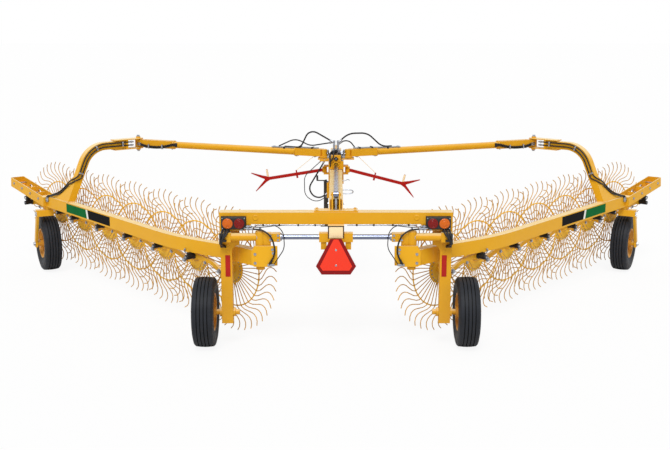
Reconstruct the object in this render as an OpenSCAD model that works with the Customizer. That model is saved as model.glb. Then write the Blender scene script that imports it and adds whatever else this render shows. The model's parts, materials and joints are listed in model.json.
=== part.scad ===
// Wheel hay rake: two folding arms of spinning tined wheels on a towed frame.
// Lengths in millimetres. +Y is the way it is towed, +Z up, z = 0 the ground.
// Places are drawn from the rear axle and then moved so the box is centred.

/* [Frame] */
// Half length of the rear cross-beam
beam_half = 1234; // [1100:5:1400]
// Top of the rear cross-beam above the ground
beam_top = 1486; // [1400:2:1600]
// Height of the cross-beam tube
beam_h = 125; // [110:5:180]
// Top of the centre tongue
tongue_top = 1600; // [1550:5:1700]
// Distance of the hitch pin ahead of the rear axle
hitch_y = 7350; // [6800:10:7800]

/* [Ground wheels] */
// Outside diameter of the tyres
tyre_d = 760; // [680:5:820]
// Width of the tyres
tyre_w = 236; // [200:2:270]
// Distance of a rear wheel from the centre line
rear_wheel_x = 1411; // [1390:1:1500]

/* [Rake arms] */
// Angle of an arm from the way it is towed
arm_angle = 38.65; // [34:0.05:42]
// Rake wheels on each arm
wheel_count = 7; // [4:1:7]
// Distance between rake wheels along the arm
wheel_pitch = 730; // [700:5:760]
// Height of an arm's tube
arm_h = 150; // [120:5:180]
// Width of an arm's tube
arm_w = 100; // [80:5:120]
// Underside of an arm above the ground
arm_z = 930; // [900:5:980]

/* [Rake wheels] */
// Diameter over the tine tips
rake_d = 1400; // [1300:10:1440]
// Tines on a wheel
tine_count = 40; // [20:1:40]
// Thickness of a tine
tine_d = 7; // [5:0.5:9]
// Angle of a wheel's plane from the way it is towed
rake_angle = 48; // [45:0.5:50]

/* [Booms] */
// Height of a boom's centre line
boom_z = 1780; // [1760:5:1820]
// Size of a boom's square ends
boom_size = 100; // [80:5:110]

/* [Hidden] */
$fn = 48;
eps = 0.01;
paint = [0.86, 0.60, 0.10];
steel = [0.72, 0.73, 0.75];
black = [0.07, 0.07, 0.08];
rubber = [0.10, 0.10, 0.11];
tine_paint = [0.55, 0.40, 0.22];
fork_red = [0.66, 0.08, 0.06];
sign_orange = [0.93, 0.25, 0.15];
sign_red = [0.52, 0.06, 0.08];
amber = [0.95, 0.50, 0.08];
lens_red = [0.55, 0.04, 0.04];

// Frame
wheel_r = tyre_d / 2;
hitch_end = 50;
axle_y = -(hitch_y + hitch_end - wheel_r) / 2;
beam_y = 80;
beam_bottom = beam_top - beam_h;
leg_x0 = 1108;
leg_x1 = 1230;
leg_y = 50;
leg_bottom = 264;
spindle_r = 30;
pivot = [-800, -120];
pivot_r = 30;
pivot_top = 1290;
lug_bottom = 918;
lug_top = 1086;
width_z = 1232;
post_half = 85;
tongue_half = 75;
tongue_h = 160;
tongue_flat_end = 4350;
sign_y = -212;
sign_w = 424;
sign_h = 385;
sign_bottom = 845;

// Carriage and booms, at the open place
apex = [-150, 2450];
platform_z = boom_z - 62;
cylinder_z = tongue_top + 60;

// Arm frame: local Y runs out along the arm, local X to the hay side
arm_base = [-1120, 220];
arm_v = -250;
first_hub = 150;
hub_v = 80;
hub_z = 770;
wheel_skew = rake_angle - arm_angle;
bend_u = 760;
kink_u = 4200;
tip_u = 5230;
tip_rise = 136;
neck_u = 3550;
neck_end_v = 625;
neck_q_v = 810;
neck_lean = 24;
neck_r = 330;
neck_start_z = boom_z - neck_r * (1 - sin(neck_lean));
clevis_gap = 114;
clevis_t = 12;

// Place on an arm of a point of the frame, and the other way round
function to_arm(p) = [(p - arm_base) * [cos(arm_angle), sin(arm_angle)], (p - arm_base)
    * [-sin(arm_angle), cos(arm_angle)]];
function from_arm(p) = arm_base + [p[0] * cos(arm_angle) - p[1] * sin(arm_angle), p[0]
    * sin(arm_angle) + p[1] * cos(arm_angle)];
boom_end = from_arm([neck_q_v, neck_u]);
boom_len = norm(boom_end - apex);
boom_turn = atan2(apex[0] - boom_end[0], boom_end[1] - apex[1]);

// Caster
caster_v = -262;
caster_u = 4200;
caster_trail = 190;
caster_wheel_v = 25;
caster_turn = 12.65;
fork_z = 800;

// Rake wheel: radius and lead angle of each bend of a tine
hub_disc_r = 130;
ring_r = 420;
tine_path = [[110, 0], [435, 0], [560, -19], [rake_d / 2 - 1, -15]];

// Cartesian point from a radius and an angle
function polar(p) = [p[0] * cos(p[1]), p[0] * sin(p[1])];

// Points of an arc, from a centre, a radius and two angles
function arc(c, r, a0, a1, n = 8) = [for (i = [0 : n]) c + r * [cos(a0 + (a1 - a0) * i / n),
    sin(a0 + (a1 - a0) * i / n)]];

// Outline of a flat bar of one width along a path
function unit(p) = p / norm(p);
function side_of(p) = [-p[1], p[0]];
function run(path, i) = unit(path[min(i + 1, len(path) - 1)] - path[min(i, len(path) - 2)]);
function mitre(path, i) = i == 0 || i == len(path) - 1 ? side_of(run(path, max(i - 1, 0)))
  : let (m = side_of(run(path, i - 1)) + side_of(run(path, i))) m * 2 / (m * m);
function band(path, w) = concat(
  [for (i = [0 : len(path) - 1]) path[i] + mitre(path, i) * w / 2],
  [for (i = [len(path) - 1 : -1 : 0]) path[i] - mitre(path, i) * w / 2]);

// A quadratic bend through a corner, as points
function bend(a, corner, b, n = 8) = [for (i = [0 : n]) let (t = i / n) (1 - t) * (1 - t)
    * a + 2 * t * (1 - t) * corner + t * t * b];

// Draws the left side, or its mirror image on the right
module on_side(side) {
  translate([0, axle_y, 0]) mirror([side == "right" ? 1 : 0, 0, 0]) children();
}

module both_sides() {
  on_side("left") children();
  on_side("right") children();
}

module centre() {
  translate([0, axle_y, 0]) children();
}

module on_arm() {
  translate([arm_base[0], arm_base[1], 0]) rotate([0, 0, arm_angle]) children();
}

module at_hub(i) {
  on_arm() translate([hub_v, first_hub + wheel_pitch * (i - 1), hub_z]) rotate([0, 0, wheel_skew])
      children();
}

module box(low, high) {
  translate(low) cube(high - low);
}

// A rod between two points
module rod(a, b, r) {
  d = b - a;
  translate(a) rotate([0, acos(d[2] / norm(d)), atan2(d[1], d[0])]) cylinder(r = r, h = norm(d));
}

// Lies a drawn outline on the Y-Z plane and gives it a thickness along X
module across_x(x0, x1) {
  translate([x0, 0, 0]) rotate([90, 0, 90]) linear_extrude(x1 - x0) children();
}

// Lies a drawn outline on the X-Z plane and gives it a thickness along Y
module across_y(y0, y1) {
  translate([0, y1, 0]) rotate([90, 0, 0]) linear_extrude(y1 - y0) children();
}

// Rear cross-beam, with the deeper plates that its lamps stand on
module cross_beam() {
  end_drop = 70;
  plate_in = 958;
  color(paint) centre() {
    box([-beam_half, -beam_y, beam_bottom], [beam_half, beam_y, beam_top]);
    for (m = [0, 1]) mirror([m, 0, 0]) across_y(-beam_y, -beam_y + 14)
      polygon([[-beam_half, beam_bottom + 20], [-beam_half, beam_bottom - end_drop],
               [-plate_in, beam_bottom - end_drop], [-plate_in + 65, beam_bottom],
               [-plate_in + 65, beam_bottom + 20]]);
  }
}

// Leg down to a rear wheel, with its spindle through its foot
module leg() {
  spindle_in = 1040;
  color(paint) {
    difference() {
      union() {
        box([-leg_x1, -leg_y, leg_bottom], [-leg_x0, leg_y, beam_bottom]);
        across_y(-leg_y, -leg_y + 40)
          polygon(concat([[-leg_x0 - 20, beam_bottom - 80], [-leg_x0 - 20, beam_bottom - 320]],
                         arc([-leg_x0 + 80, beam_bottom - 310], 80, 180, 90, 6), [[-leg_x0 + 80,
                             beam_bottom - 80]]));
        box([-leg_x1, pivot[1] - 45, width_z - 50], [-leg_x0, -leg_y + 1, width_z + 50]);
      }
    }
    rod([-rear_wheel_x - 20, 0, wheel_r], [-spindle_in, 0, wheel_r], spindle_r);
    rod([-leg_x0 + 1, 0, wheel_r], [-leg_x0 + 26, 0, wheel_r], 48);
    rod([-leg_x1 - 22, 0, wheel_r], [-leg_x1 + 1, 0, wheel_r], 52);
  }
}

// Post under the cross-beam that the width rods and the sign are fixed to
module centre_post() {
  post_bottom = 960;
  ear_x = 178;
  color(paint) centre() difference() {
    union() {
      box([-post_half, -175, post_bottom], [post_half, beam_y - 30, beam_bottom]);
      box([-ear_x, pivot[1] - 45, width_z - 48], [ear_x, pivot[1] + 45, width_z + 48]);
      for (m = [-1, 1]) box([m * 130 - 30, pivot[1] - 30, width_z - 130], [m * 130 + 30, pivot[1]
          + 30, width_z - 40]);
    }
    for (m = [-1, 1]) rod([m * ear_x * 1.2, pivot[1], width_z], [m * (ear_x - 60), pivot[1],
        width_z], 27.5);
  }
}

// Towing tongue, level over the windrow and then down to the drawbar
module tongue() {
  tongue_bottom = tongue_top - tongue_h;
  color(paint) centre() across_x(-tongue_half, tongue_half)
    polygon([[beam_y, tongue_bottom], [beam_y, tongue_top], [tongue_flat_end, tongue_top], [6300, 690],
             [hitch_y - 150, 575], [hitch_y - 150, 425], [6260, 535], [tongue_flat_end - 40,
                 tongue_bottom]]);
}

// Two-plate hitch for a drawbar pin
module hitch() {
  pin_r = 17;
  hitch_z = 500;
  plate_t = 25;
  gap = 60;
  color(paint) centre() difference() {
    union() {
      box([-tongue_half, hitch_y - 150, hitch_z - 75], [tongue_half, hitch_y - 125, hitch_z + 75]);
      for (z = [hitch_z - gap / 2 - plate_t, hitch_z + gap / 2]) {
        box([-50, hitch_y - 126, z], [50, hitch_y, z + plate_t]);
        translate([0, hitch_y, z]) cylinder(r = hitch_end, h = plate_t);
      }
    }
    translate([0, hitch_y, hitch_z - 100]) cylinder(r = pin_r, h = 200);
  }
}

// Plate and gussets that tie the tongue to the cross-beam
module saddle_plate() {
  plate_half = 232;
  plate_t = 16;
  ear_in = 32;
  color(paint) centre() {
    box([-plate_half, -beam_y + 10, beam_top], [plate_half, beam_y, beam_top + plate_t]);
    for (x = [-tongue_half, tongue_half - 12]) across_x(x, x + 12)
      polygon([[-beam_y + 20, beam_top + plate_t - 1], [beam_y, beam_top + plate_t - 1], [beam_y,
          tongue_top], [beam_y - 40, tongue_top]]);
    for (x = [-ear_in - 14, ear_in]) across_x(x, x + 14)
      polygon([[-50, beam_top + plate_t - 1], [beam_y, beam_top + plate_t - 1], [beam_y,
          cylinder_z + 30], [20, cylinder_z + 30]]);
    rod([-ear_in - 24, 40, cylinder_z], [ear_in + 24, 40, cylinder_z], 14);
  }
}

// Upright pins that the arms turn on
module hinge_brackets() {
  tube_r = 54;
  inner_x = -690;
  block_x = -588;
  color(paint) both_sides() {
    difference() {
      union() {
        translate([pivot[0], pivot[1], lug_top + 14]) cylinder(r = tube_r, h = pivot_top - lug_top - 14);
        box([pivot[0], pivot[1] - 40, lug_top + 30], [inner_x, pivot[1] + 40, pivot_top - 10]);
        box([inner_x - 20, pivot[1] - 46, width_z - 44], [block_x, pivot[1] + 46, width_z + 44]);
      }
      rod([block_x + 1, pivot[1], width_z], [block_x - 142, pivot[1], width_z], 27.5);
    }
    translate([pivot[0], pivot[1], lug_bottom - 30]) cylinder(r = pivot_r, h = lug_top - lug_bottom + 50);
    translate([pivot[0], pivot[1], lug_bottom - 34]) cylinder(r = 46, h = 26);
  }
}

// Barrels of the cylinders that set the windrow's width
module width_cylinders() {
  color(paint) both_sides() difference() {
    rod([-leg_x0, pivot[1], width_z], [pivot[0] - 36, pivot[1], width_z], 42);
    translate([pivot[0], pivot[1], width_z - 100]) cylinder(r = 54.5, h = 200);
  }
}

// Rods of the width cylinders, and that of the fold cylinder, pinned on the saddle plate
module cylinder_rods() {
  color(steel) {
    both_sides() rod([-728, pivot[1], width_z], [-118, pivot[1], width_z], 27);
    centre() difference() {
      union() {
        rod([0, 40, cylinder_z], [0, 2330, cylinder_z], 25);
        rod([-26, 40, cylinder_z], [26, 40, cylinder_z], 34);
      }
      rod([-40, 40, cylinder_z], [40, 40, cylinder_z], 14.4);
    }
  }
}

// Parking jack on the left of the tongue
jack = [-166, 6600];
jack_top = 740;
module jack_tube() {
  color(black) centre() {
    difference() {
      union() {
        translate([jack[0], jack[1], 260]) cylinder(r = 38, h = jack_top - 260);
        box([jack[0], jack[1] - 45, 500], [-tongue_half, jack[1] + 45, 600]);
      }
      translate([jack[0], jack[1], 259]) cylinder(r = 32.5, h = 440);
    }
    translate([jack[0], jack[1], jack_top - 1]) cylinder(r = 16, h = 40);
    rod([jack[0], jack[1], jack_top + 25], [jack[0] - 150, jack[1], jack_top + 25], 9);
    rod([jack[0] - 145, jack[1], jack_top + 20], [jack[0] - 145, jack[1], jack_top + 110], 12);
  }
}

module jack_leg() {
  color(black) centre() {
    translate([jack[0], jack[1], 10]) cylinder(r = 29, h = 330);
    box([jack[0] - 90, jack[1] - 90, 0], [jack[0] + 90, jack[1] + 90, 14]);
  }
}

// Slow-vehicle sign: a triangle with its corners cut, blank
function cut_triangle(w, h, low, cut, top) = [[-w / 2 + cut, low], [w / 2 - cut, low],
  [w / 2, low + cut * 1.5], [top / 2, h], [-top / 2, h], [-w / 2, low + cut * 1.5]];
module sign_border() {
  color(sign_red) centre() translate([0, 0, sign_bottom]) across_y(sign_y, sign_y + 5)
      polygon(cut_triangle(sign_w, sign_h, 0, 60, 116));
  color(sign_red) centre() box([-60, sign_y + 4, sign_bottom + 120], [60, -175, sign_bottom + 200]);
}

module sign_face() {
  color(sign_orange) centre() translate([0, 0, sign_bottom]) across_y(sign_y - 3, sign_y)
      polygon(cut_triangle(sign_w - 84, sign_h - 6, 44, 30, 50));
}

// Tail lamps: two round lenses in a box on each end of the cross-beam
lamp = [-1082, 1377];
lamp_pitch = 122;
lens_r = 55;
lamp_half = [129, 67];
module lamp_boxes() {
  color(black) both_sides() box([lamp[0] - lamp_half[0], -beam_y - 46, lamp[1] - lamp_half[1]],
      [lamp[0] + lamp_half[0], -beam_y, lamp[1] + lamp_half[1]]);
}

module lens(x) {
  rod([x, -beam_y - 46, lamp[1]], [x, -beam_y - 60, lamp[1]], lens_r);
}

module red_lenses() {
  color(lens_red) both_sides() lens(lamp[0] + lamp_pitch / 2);
}

module amber_lenses() {
  color(amber) both_sides() lens(lamp[0] - lamp_pitch / 2);
}

// Carriage that slides on the tongue and carries both boom hinges
module carriage() {
  slack = 6;
  wall = 14;
  half_len = 230;
  out = tongue_half + slack + wall;
  color(paint) centre() translate([0, apex[1], 0]) {
    difference() {
      box([-out, -half_len, tongue_top - tongue_h - slack - wall], [out, half_len, platform_z - 12]);
      box([-tongue_half - slack, -half_len - 1, tongue_top - tongue_h - slack],
          [tongue_half + slack, half_len + 1, tongue_top + slack]);
      rod([0, -half_len - 1, cylinder_z], [0, half_len + 1, cylinder_z], 45.3);
    }
    for (m = [-1, 1]) {
      box([m * 150 - 80, -90, platform_z - 12 - eps], [m * 150 + 80, 90, platform_z]);
      box([m * (out + 30) - 32, -55, fork_root_z - 56], [m * (out + 30) + 32, 55, fork_root_z - 40]);
      box([m * (out + 30) - 32, -55, fork_root_z + 40], [m * (out + 30) + 32, 55, fork_root_z + 56]);
    }
  }
}

// Barrel of the fold cylinder, held by the carriage and lying ahead of it
module fold_cylinder() {
  color(paint) centre() difference() {
    union() {
      rod([0, apex[1] - 230, cylinder_z], [0, apex[1] + 1400, cylinder_z], 45);
      rod([0, apex[1] - 250, cylinder_z], [0, apex[1] - 231, cylinder_z], 44);
    }
    rod([0, apex[1] - 215, cylinder_z], [0, apex[1] + 1380, cylinder_z], 37);
    rod([0, apex[1] - 300, cylinder_z], [0, apex[1] - 200, cylinder_z], 29);
  }
}

// Hydraulic junction block on top of the carriage
block_h = 120;
fitting_h = 110;
module valve_block() {
  color(steel) centre() translate([0, apex[1], platform_z - 12]) {
    box([-58, -60, 0], [58, 60, block_h]);
    for (x = [-24, 24], y = [-36, 0, 36]) translate([x, y, block_h - 1]) cylinder(r = 12, h = fitting_h + 1);
  }
}

// A tube swept along points, as rings of eight corners
function across(t) = unit(cross(t, [0.1, 1, 0.05]));
function ring(p, t, r) = let (a = across(t), b = cross(t, a))
  [for (k = [0 : 7]) p + r * (cos(45 * k) * a + sin(45 * k) * b)];
module tube(path, r) {
  last = len(path) - 1;
  way = [for (i = [0 : last]) unit(path[min(i + 1, last)] - path[max(i - 1, 0)])];
  polyhedron(points = [for (i = [0 : last]) each ring(path[i], way[i], r)],
    faces = concat([[for (k = [0 : 7]) 7 - k]], [[for (k = [0 : 7]) last * 8 + k]],
      [for (i = [0 : last - 1], k = [0 : 7])
        [i * 8 + k, i * 8 + (k + 1) % 8, i * 8 + 8 + (k + 1) % 8, i * 8 + 8 + k]]));
}

// A hose's route: straight between its corners, with one bend radius at each
function hose_bend(p, before, after, r, n) =
  let (a = unit(before - p), b = unit(after - p), half = acos(a * b) / 2, turn = 180 - 2 * half,
       c = p + unit(a + b) * r / sin(half), u = unit(p + a * r / tan(half) - c),
           v = unit(p + b * r / tan(half) - c))
  [for (k = [0 : n]) c + r * (sin(turn * (n - k) / n) * u + sin(turn * k / n) * v) / sin(turn)];
function hose_route(corners, r, n = 7) = concat([corners[0]],
  [for (i = [1 : len(corners) - 2]) each hose_bend(corners[i], corners[i - 1], corners[i + 1], r, n)],
  [corners[len(corners) - 1]]);

// Hoses from the junction block to each boom, by their corners' places from the rear axle
hose_r = 10;
thin_hose_r = 8;
slack_r = 10;
left_corners = [[-46, 2450, 1926], [-335, 2462, 2092], [-452, 2545, 1840], [-660, 2659, 1840]];
right_corners = [[46, 2450, 1926], [150, 2456, 2030], [400, 2516, 2030], [590, 2630, 1841],
                 [720, 2684, 1841]];
low_left_corners = [[-46, 2486, 1912], [-330, 2530, 1862], [-520, 2602, 1950], [-740, 2692, 1840]];
low_right_corners = [[46, 2486, 1900], [150, 2500, 1968], [240, 2530, 1842]];
slack_corners = [[-140, 2346, 1700], [-352, 2290, 1350], [-250, 2262, 1196], [-104, 2290, 1290]];
module hose_left() {
  color(black) centre() {
    tube(hose_route(left_corners, 105), hose_r);
    tube(hose_route(low_left_corners, 200), thin_hose_r);
    tube(hose_route(slack_corners, 108), slack_r);
  }
}

module hose_right() {
  color(black) centre() {
    tube(hose_route(right_corners, 215), hose_r);
    tube(hose_route(low_right_corners, 105), thin_hose_r);
  }
}

// Hose and cable that hang in a bow from the frame to the tail of each arm
bow_r = 9;
cable_r = 5;
bow_corners = [[-872, -150, 1322], [-690, -200, 1316], [-632, -226, 1090], [-692, -214, 966]];
cable_corners = [[-640, -110, 1348], [-552, -170, 1330], [-540, -225, 1130], [-664, -212, 940]];
module hinge_hoses() {
  color(black) {
    tube(hose_route(bow_corners, 180), bow_r);
    tube(hose_route(cable_corners, 140), cable_r);
  }
}

// Boom between the carriage and the top of an arm's neck, drawn along +Y
module boom() {
  half = boom_size / 2;
  root = 390;
  outer = 560;
  tube_r = 44;
  color(paint) translate([apex[0], apex[1], boom_z]) rotate([0, 0, boom_turn]) difference() {
    union() {
      translate([0, 0, platform_z + 6 - boom_z]) cylinder(r = 62, h = 20);
      translate([0, 0, platform_z + 6 - boom_z]) cylinder(r = 40, h = 100);
      box([-half, 30, -half + 8], [half, root, half]);
      rod([0, root - 60, 0], [0, boom_len - outer + 60, 0], tube_r);
      box([-half, boom_len - outer, -half], [half, boom_len - 90, half]);
      box([-half + 14, boom_len - 110, -half], [half - 14, boom_len, half]);
      translate([0, boom_len, -half]) cylinder(r = half - 6, h = boom_size);
    }
    translate([0, boom_len, -half - 1]) cylinder(r = 22, h = boom_size + 2);
  }
}

// Red fork arm below a boom, which holds a folded rake wheel from spinning
fork_root_z = 1568;
// A prong that narrows to its tip
function blade(o, turn, long) =
  let (u = [cos(turn), sin(turn)], n = [-sin(turn), cos(turn)])
  [for (q = [[0, -19], [0.45, -14], [1, -4], [1, 4], [0.45, 14], [0, 19]]) o + u * long * q[0] + n * q[1]];
module fork(drop) {
  reach = 750;
  prong = 210;
  color(fork_red) translate([-146, apex[1], fork_root_z]) {
    translate([0, 0, -35]) cylinder(r = 24, h = 70);
    rotate([0, 0, 180]) rotate([0, drop, 0]) {
      across_y(-13, 13) {
        polygon(band([[10, 0], [reach, 0]], 38));
        for (turn = [28, -38]) polygon(blade([reach - 12, 0], turn, prong + 12));
        polygon([[reach - 40, -18], [reach - 40, 18], [reach + 46, 50], [reach + 26, 2], [reach + 44, -54]]);
      }
      translate([reach * 0.48, 0, -50]) cylinder(r = 9, h = 100);
      translate([reach - 20, 0, 0]) cylinder(r = 9, h = 120);
    }
  }
}

// Arm: a bent tube from its hinge to its front end
module arm() {
  bend_pt = [arm_v, bend_u];
  hinge = to_arm(pivot);
  elbow = to_arm([-1020, 100]);
  tail = concat([hinge + 40 * unit(elbow - hinge), elbow],
                bend(bend_pt + 380 * unit(elbow - bend_pt), bend_pt, bend_pt + [0, 380]));
  path = concat(tail, [[arm_v, kink_u]]);
  color(paint) on_arm() difference() {
    union() {
      translate([0, 0, arm_z]) linear_extrude(arm_h) polygon(band(path, arm_w));
      translate([hinge[0], hinge[1], lug_bottom]) cylinder(r = 66, h = lug_top - lug_bottom);
      translate([0, 0, lug_bottom]) linear_extrude(lug_top - lug_bottom) polygon(band([hinge,
          elbow, elbow + 120 * unit(bend_pt - elbow)], arm_w + 12));
      translate([hinge[0], hinge[1], lug_bottom]) rotate([0, 0, -arm_angle]) box([0, -46, 14],
          [180, -12, lug_top - lug_bottom - 14]);
      translate([hinge[0], hinge[1], 0]) rotate([0, 0, -arm_angle]) {
        box([74, -68, lug_bottom + 40], [166, -40, lug_top - 40]);
        across_y(-80, -62) polygon([[-92, 948], [-92, 1084], [-60, 1150], [184, 1150], [184, 985],
                                    [154, 938], [112, 926], [-60, 926]]);
      }
      nose();
      translate([caster_v, caster_u, arm_z - 34]) cylinder(r = 52, h = 40);
    }
    translate([hinge[0], hinge[1], lug_bottom - 1]) cylinder(r = 33.5, h = lug_top - lug_bottom + 2);
    translate([caster_v, caster_u, arm_z - 40]) cylinder(r = 24, h = 90);
  }
}

// Open-topped channel that runs on past the caster
module nose() {
  outer_v = -350;
  inner_v = -160;
  wall = 10;
  run_u = tip_u - kink_u;
  translate([0, kink_u, arm_z + 20]) rotate([atan2(tip_rise, run_u), 0, 0]) difference() {
    box([outer_v, -60, 0], [inner_v, run_u, arm_h - 20]);
    box([outer_v + wall, 20, wall], [inner_v - wall, run_u - wall, arm_h]);
  }
}

// Neck that rises from an arm and reaches over its wheels to the boom
module neck() {
  half = boom_size / 2;
  base_v = arm_v + 15;
  bend_v = base_v + (neck_start_z - arm_z - arm_h) * tan(neck_lean);
  centre_v = bend_v + neck_r * cos(neck_lean);
  centre_z = neck_start_z - neck_r * sin(neck_lean);
  top_z = centre_z + neck_r;
  gusset_u = 580;
  gusset_h = 380;
  color(paint) on_arm() {
    translate([0, neck_u, 0]) {
      across_y(-half, half) polygon([[base_v - half, arm_z + arm_h], [base_v + half, arm_z + arm_h],
        [bend_v + half * cos(neck_lean), neck_start_z - half * sin(neck_lean)],
        [bend_v - half * cos(neck_lean), neck_start_z + half * sin(neck_lean)]]);
      translate([centre_v, 0, centre_z]) rotate([90, 0, 0]) rotate([0, 0, 90])
          rotate_extrude(angle = 90 - neck_lean)
        translate([neck_r, 0]) square(boom_size, center = true);
      box([centre_v - eps, -half, top_z - half], [neck_end_v, half, top_z + half]);
    }
    for (z = [boom_z - clevis_gap / 2 - clevis_t, boom_z + clevis_gap / 2]) {
      box([neck_end_v - 200, neck_u - 66, z], [neck_q_v, neck_u + 66, z + clevis_t]);
      translate([neck_q_v, neck_u, z]) cylinder(r = 66, h = clevis_t);
    }
    box([neck_end_v - 30, neck_u - 62, boom_z - clevis_gap / 2 - 1], [neck_end_v - 1, neck_u + 62,
        boom_z + clevis_gap / 2 + 1]);
    translate([neck_q_v, neck_u, boom_z + clevis_gap / 2 + clevis_t - 1]) cylinder(r = 30, h = 22);
    translate([neck_q_v, neck_u, boom_z - clevis_gap / 2 - clevis_t - 21]) cylinder(r = 30, h = 22);
    difference() {
      translate([base_v, neck_u, arm_z + arm_h]) rotate([0, neck_lean, 0]) across_x(-34, 34)
        polygon(concat([[20, -30], [half + gusset_u, -30]],
                       arc([half + gusset_u, gusset_u + 10], gusset_u, 270, 214, 8), [[20, gusset_h]]));
      box([base_v - 300, neck_u - 10, arm_z], [base_v + 300, neck_u + 700, arm_z + arm_h]);
    }
  }
}

// Curved crank arms that carry the rake wheels' spindles
function crank_y(i) = i == 6 ? 180 : 414;
crank_z = 112;
crank_in = -196;
crank_out = -162;
module cranks() {
  color(paint) for (i = [1 : wheel_count]) at_hub(i) {
    y = crank_y(i);
    rod([crank_in + 6, 0, 0], [-16, 0, 0], 15);
    rod([crank_in, 0, 0], [crank_out, 0, 0], 30);
    across_x(crank_in, crank_out) polygon(band(bend([0, 0], [0.29 * y, crank_z], [y, crank_z]), 46));
    rod([crank_in, y, crank_z], [crank_out, y, crank_z], 40);
  }
}

// Rubber-sprung float units that the cranks turn in, hung under the arm; the last hangs from the nose
module float_units() {
  function hanger_top(i) = i < wheel_count ? arm_z - hub_z : arm_z + 106 - hub_z;
  color(black) for (i = [1 : wheel_count]) at_hub(i) {
    y = crank_y(i);
    rod([-304, y, crank_z], [crank_in, y, crank_z], 42);
    box([-298, y - 32, crank_z + 20], [-206, y + 32, hanger_top(i)]);
  }
}

// A tined wheel; its axis is local X, and the tines hook round it
module rake_wheel() {
  color(tine_paint) {
    across_x(-tine_d / 2, tine_d / 2) {
      difference() { circle(r = ring_r + 6); circle(r = ring_r - 6); }
      circle(r = hub_disc_r);
      for (k = [0 : tine_count - 1]) rotate([0, 0, k * 360 / tine_count])
        polygon(band([for (p = tine_path) polar(p)], tine_d));
    }
    difference() {
      rod([-80, 0, 0], [40, 0, 0], 45);
      rod([-81, 0, 0], [-8, 0, 0], 18.5);
    }
  }
}

// Ribbed implement tyre, axis along local X
module tyre() {
  half = tyre_w / 2;
  bead_r = 193;
  rib = tyre_w * 0.8 / 5;
  groove = 10;
  depth = 14;
  crown = 8;
  edge = half * 0.8;
  function tread_r(x) = wheel_r - crown * pow(x / edge, 2);
  ribs = [for (i = [0 : 4]) let (a = -edge + i * rib, b = a + rib)
    each [[i == 0 ? a : a + groove / 2, 1], [i == 4 ? b : b - groove / 2, 1], if (i < 4)
        [b - groove / 2 + 1, 0], if (i < 4) [b + groove / 2 - 1, 0]]];
  color(rubber) rotate([0, 90, 0]) rotate_extrude($fn = 96) polygon(concat(
    [for (p = ribs) [tread_r(p[0]) - (1 - p[1]) * depth, p[0]]],
    [for (p = [[-22, edge + 14], [-60, half], [-110, half - 2], [-150, half - 18]]) [wheel_r + p[0], p[1]]],
    [[bead_r, half - 30], [bead_r, -half + 30]],
    [for (p = [[-150, half - 18], [-110, half - 2], [-60, half], [-22, edge + 14]])
        [wheel_r + p[0], -p[1]]]));
}

// Pressed rim with a dished disc and a hub that runs on a spindle; the hub's mouth is at local +X
module rim(mouth) {
  half = tyre_w / 2 - 25;
  color(paint) rotate([0, 90, 0]) rotate_extrude($fn = 96) polygon([
    [192, -half], [192, half], [204, half], [204, half + 8], [184, half + 8], [178, half - 12],
        [160, half - 34],
    [160, 14], [120, 26], [70, 22], [62, 20], [62, mouth], [33.5, mouth], [33.5, -38], [0.01, -38],
        [0.01, -52], [50, -52],
    [62, -40], [62, 10], [118, 14], [154, 0], [160, -half + 34], [178, -half + 12], [184,
        -half - 8], [204, -half - 8], [204, -half]]);
}

module rear_tyre() {
  translate([-rear_wheel_x, 0, wheel_r]) tyre();
}

module rear_rim() {
  translate([-rear_wheel_x, 0, wheel_r]) rim(120);
}

// Caster: a kingpin, a bar out over the tyre and a leg down its outer side
caster_hub = [caster_wheel_v, caster_trail];
module at_caster() {
  on_arm() translate([caster_v, caster_u, 0]) rotate([0, 0, -caster_turn]) children();
}

module caster_fork() {
  leg_v = caster_wheel_v - tyre_w / 2 - 52;
  leg_t = 30;
  bar_top = arm_z - 42;
  color(paint) at_caster() {
    cylinder_pin = 20;
    translate([0, 0, bar_top - 20]) cylinder(r = cylinder_pin, h = 100);
    box([leg_v - leg_t / 2, -48, fork_z], [70, 48, bar_top]);
    across_x(leg_v - leg_t / 2, leg_v + leg_t / 2) polygon([[-48, fork_z + 20], [48, fork_z + 20],
        [caster_trail + 42, wheel_r + 20],
      [caster_trail + 42, wheel_r - 46], [caster_trail - 42, wheel_r - 46], [caster_trail - 42,
          wheel_r + 20]]);
    rod([leg_v, caster_trail, wheel_r], [caster_wheel_v + 20, caster_trail, wheel_r], spindle_r);
  }
}

module front_tyre() {
  at_caster() translate([caster_wheel_v, caster_trail, wheel_r]) tyre();
}

module front_rim() {
  at_caster() translate([caster_wheel_v, caster_trail, wheel_r]) mirror([1, 0, 0]) rim(120);
}

cross_beam();
on_side("left") leg();  // leg_left
on_side("right") leg();  // leg_right
centre_post();
tongue();
hitch();
saddle_plate();
hinge_brackets();
width_cylinders();
cylinder_rods();
jack_tube();
jack_leg();
sign_border();
sign_face();
lamp_boxes();
red_lenses();
amber_lenses();
carriage();
fold_cylinder();
valve_block();
hose_left();
hose_right();
for (side = ["left", "right"]) on_side(side) {
  boom();
  fork(side == "left" ? 9.2 : 14.5);
  arm();
  neck();
  cranks();
  float_units();
  hinge_hoses();
  caster_fork();
  rear_tyre();
  rear_rim();
  front_tyre();
  front_rim();
  for (i = [1 : wheel_count]) at_hub(i) rake_wheel();
}
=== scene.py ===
# Wheel hay rake: finishes, wire wheels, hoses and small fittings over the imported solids.
import json
import math

import bmesh
import bpy
from mathutils import Matrix, Vector

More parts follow.
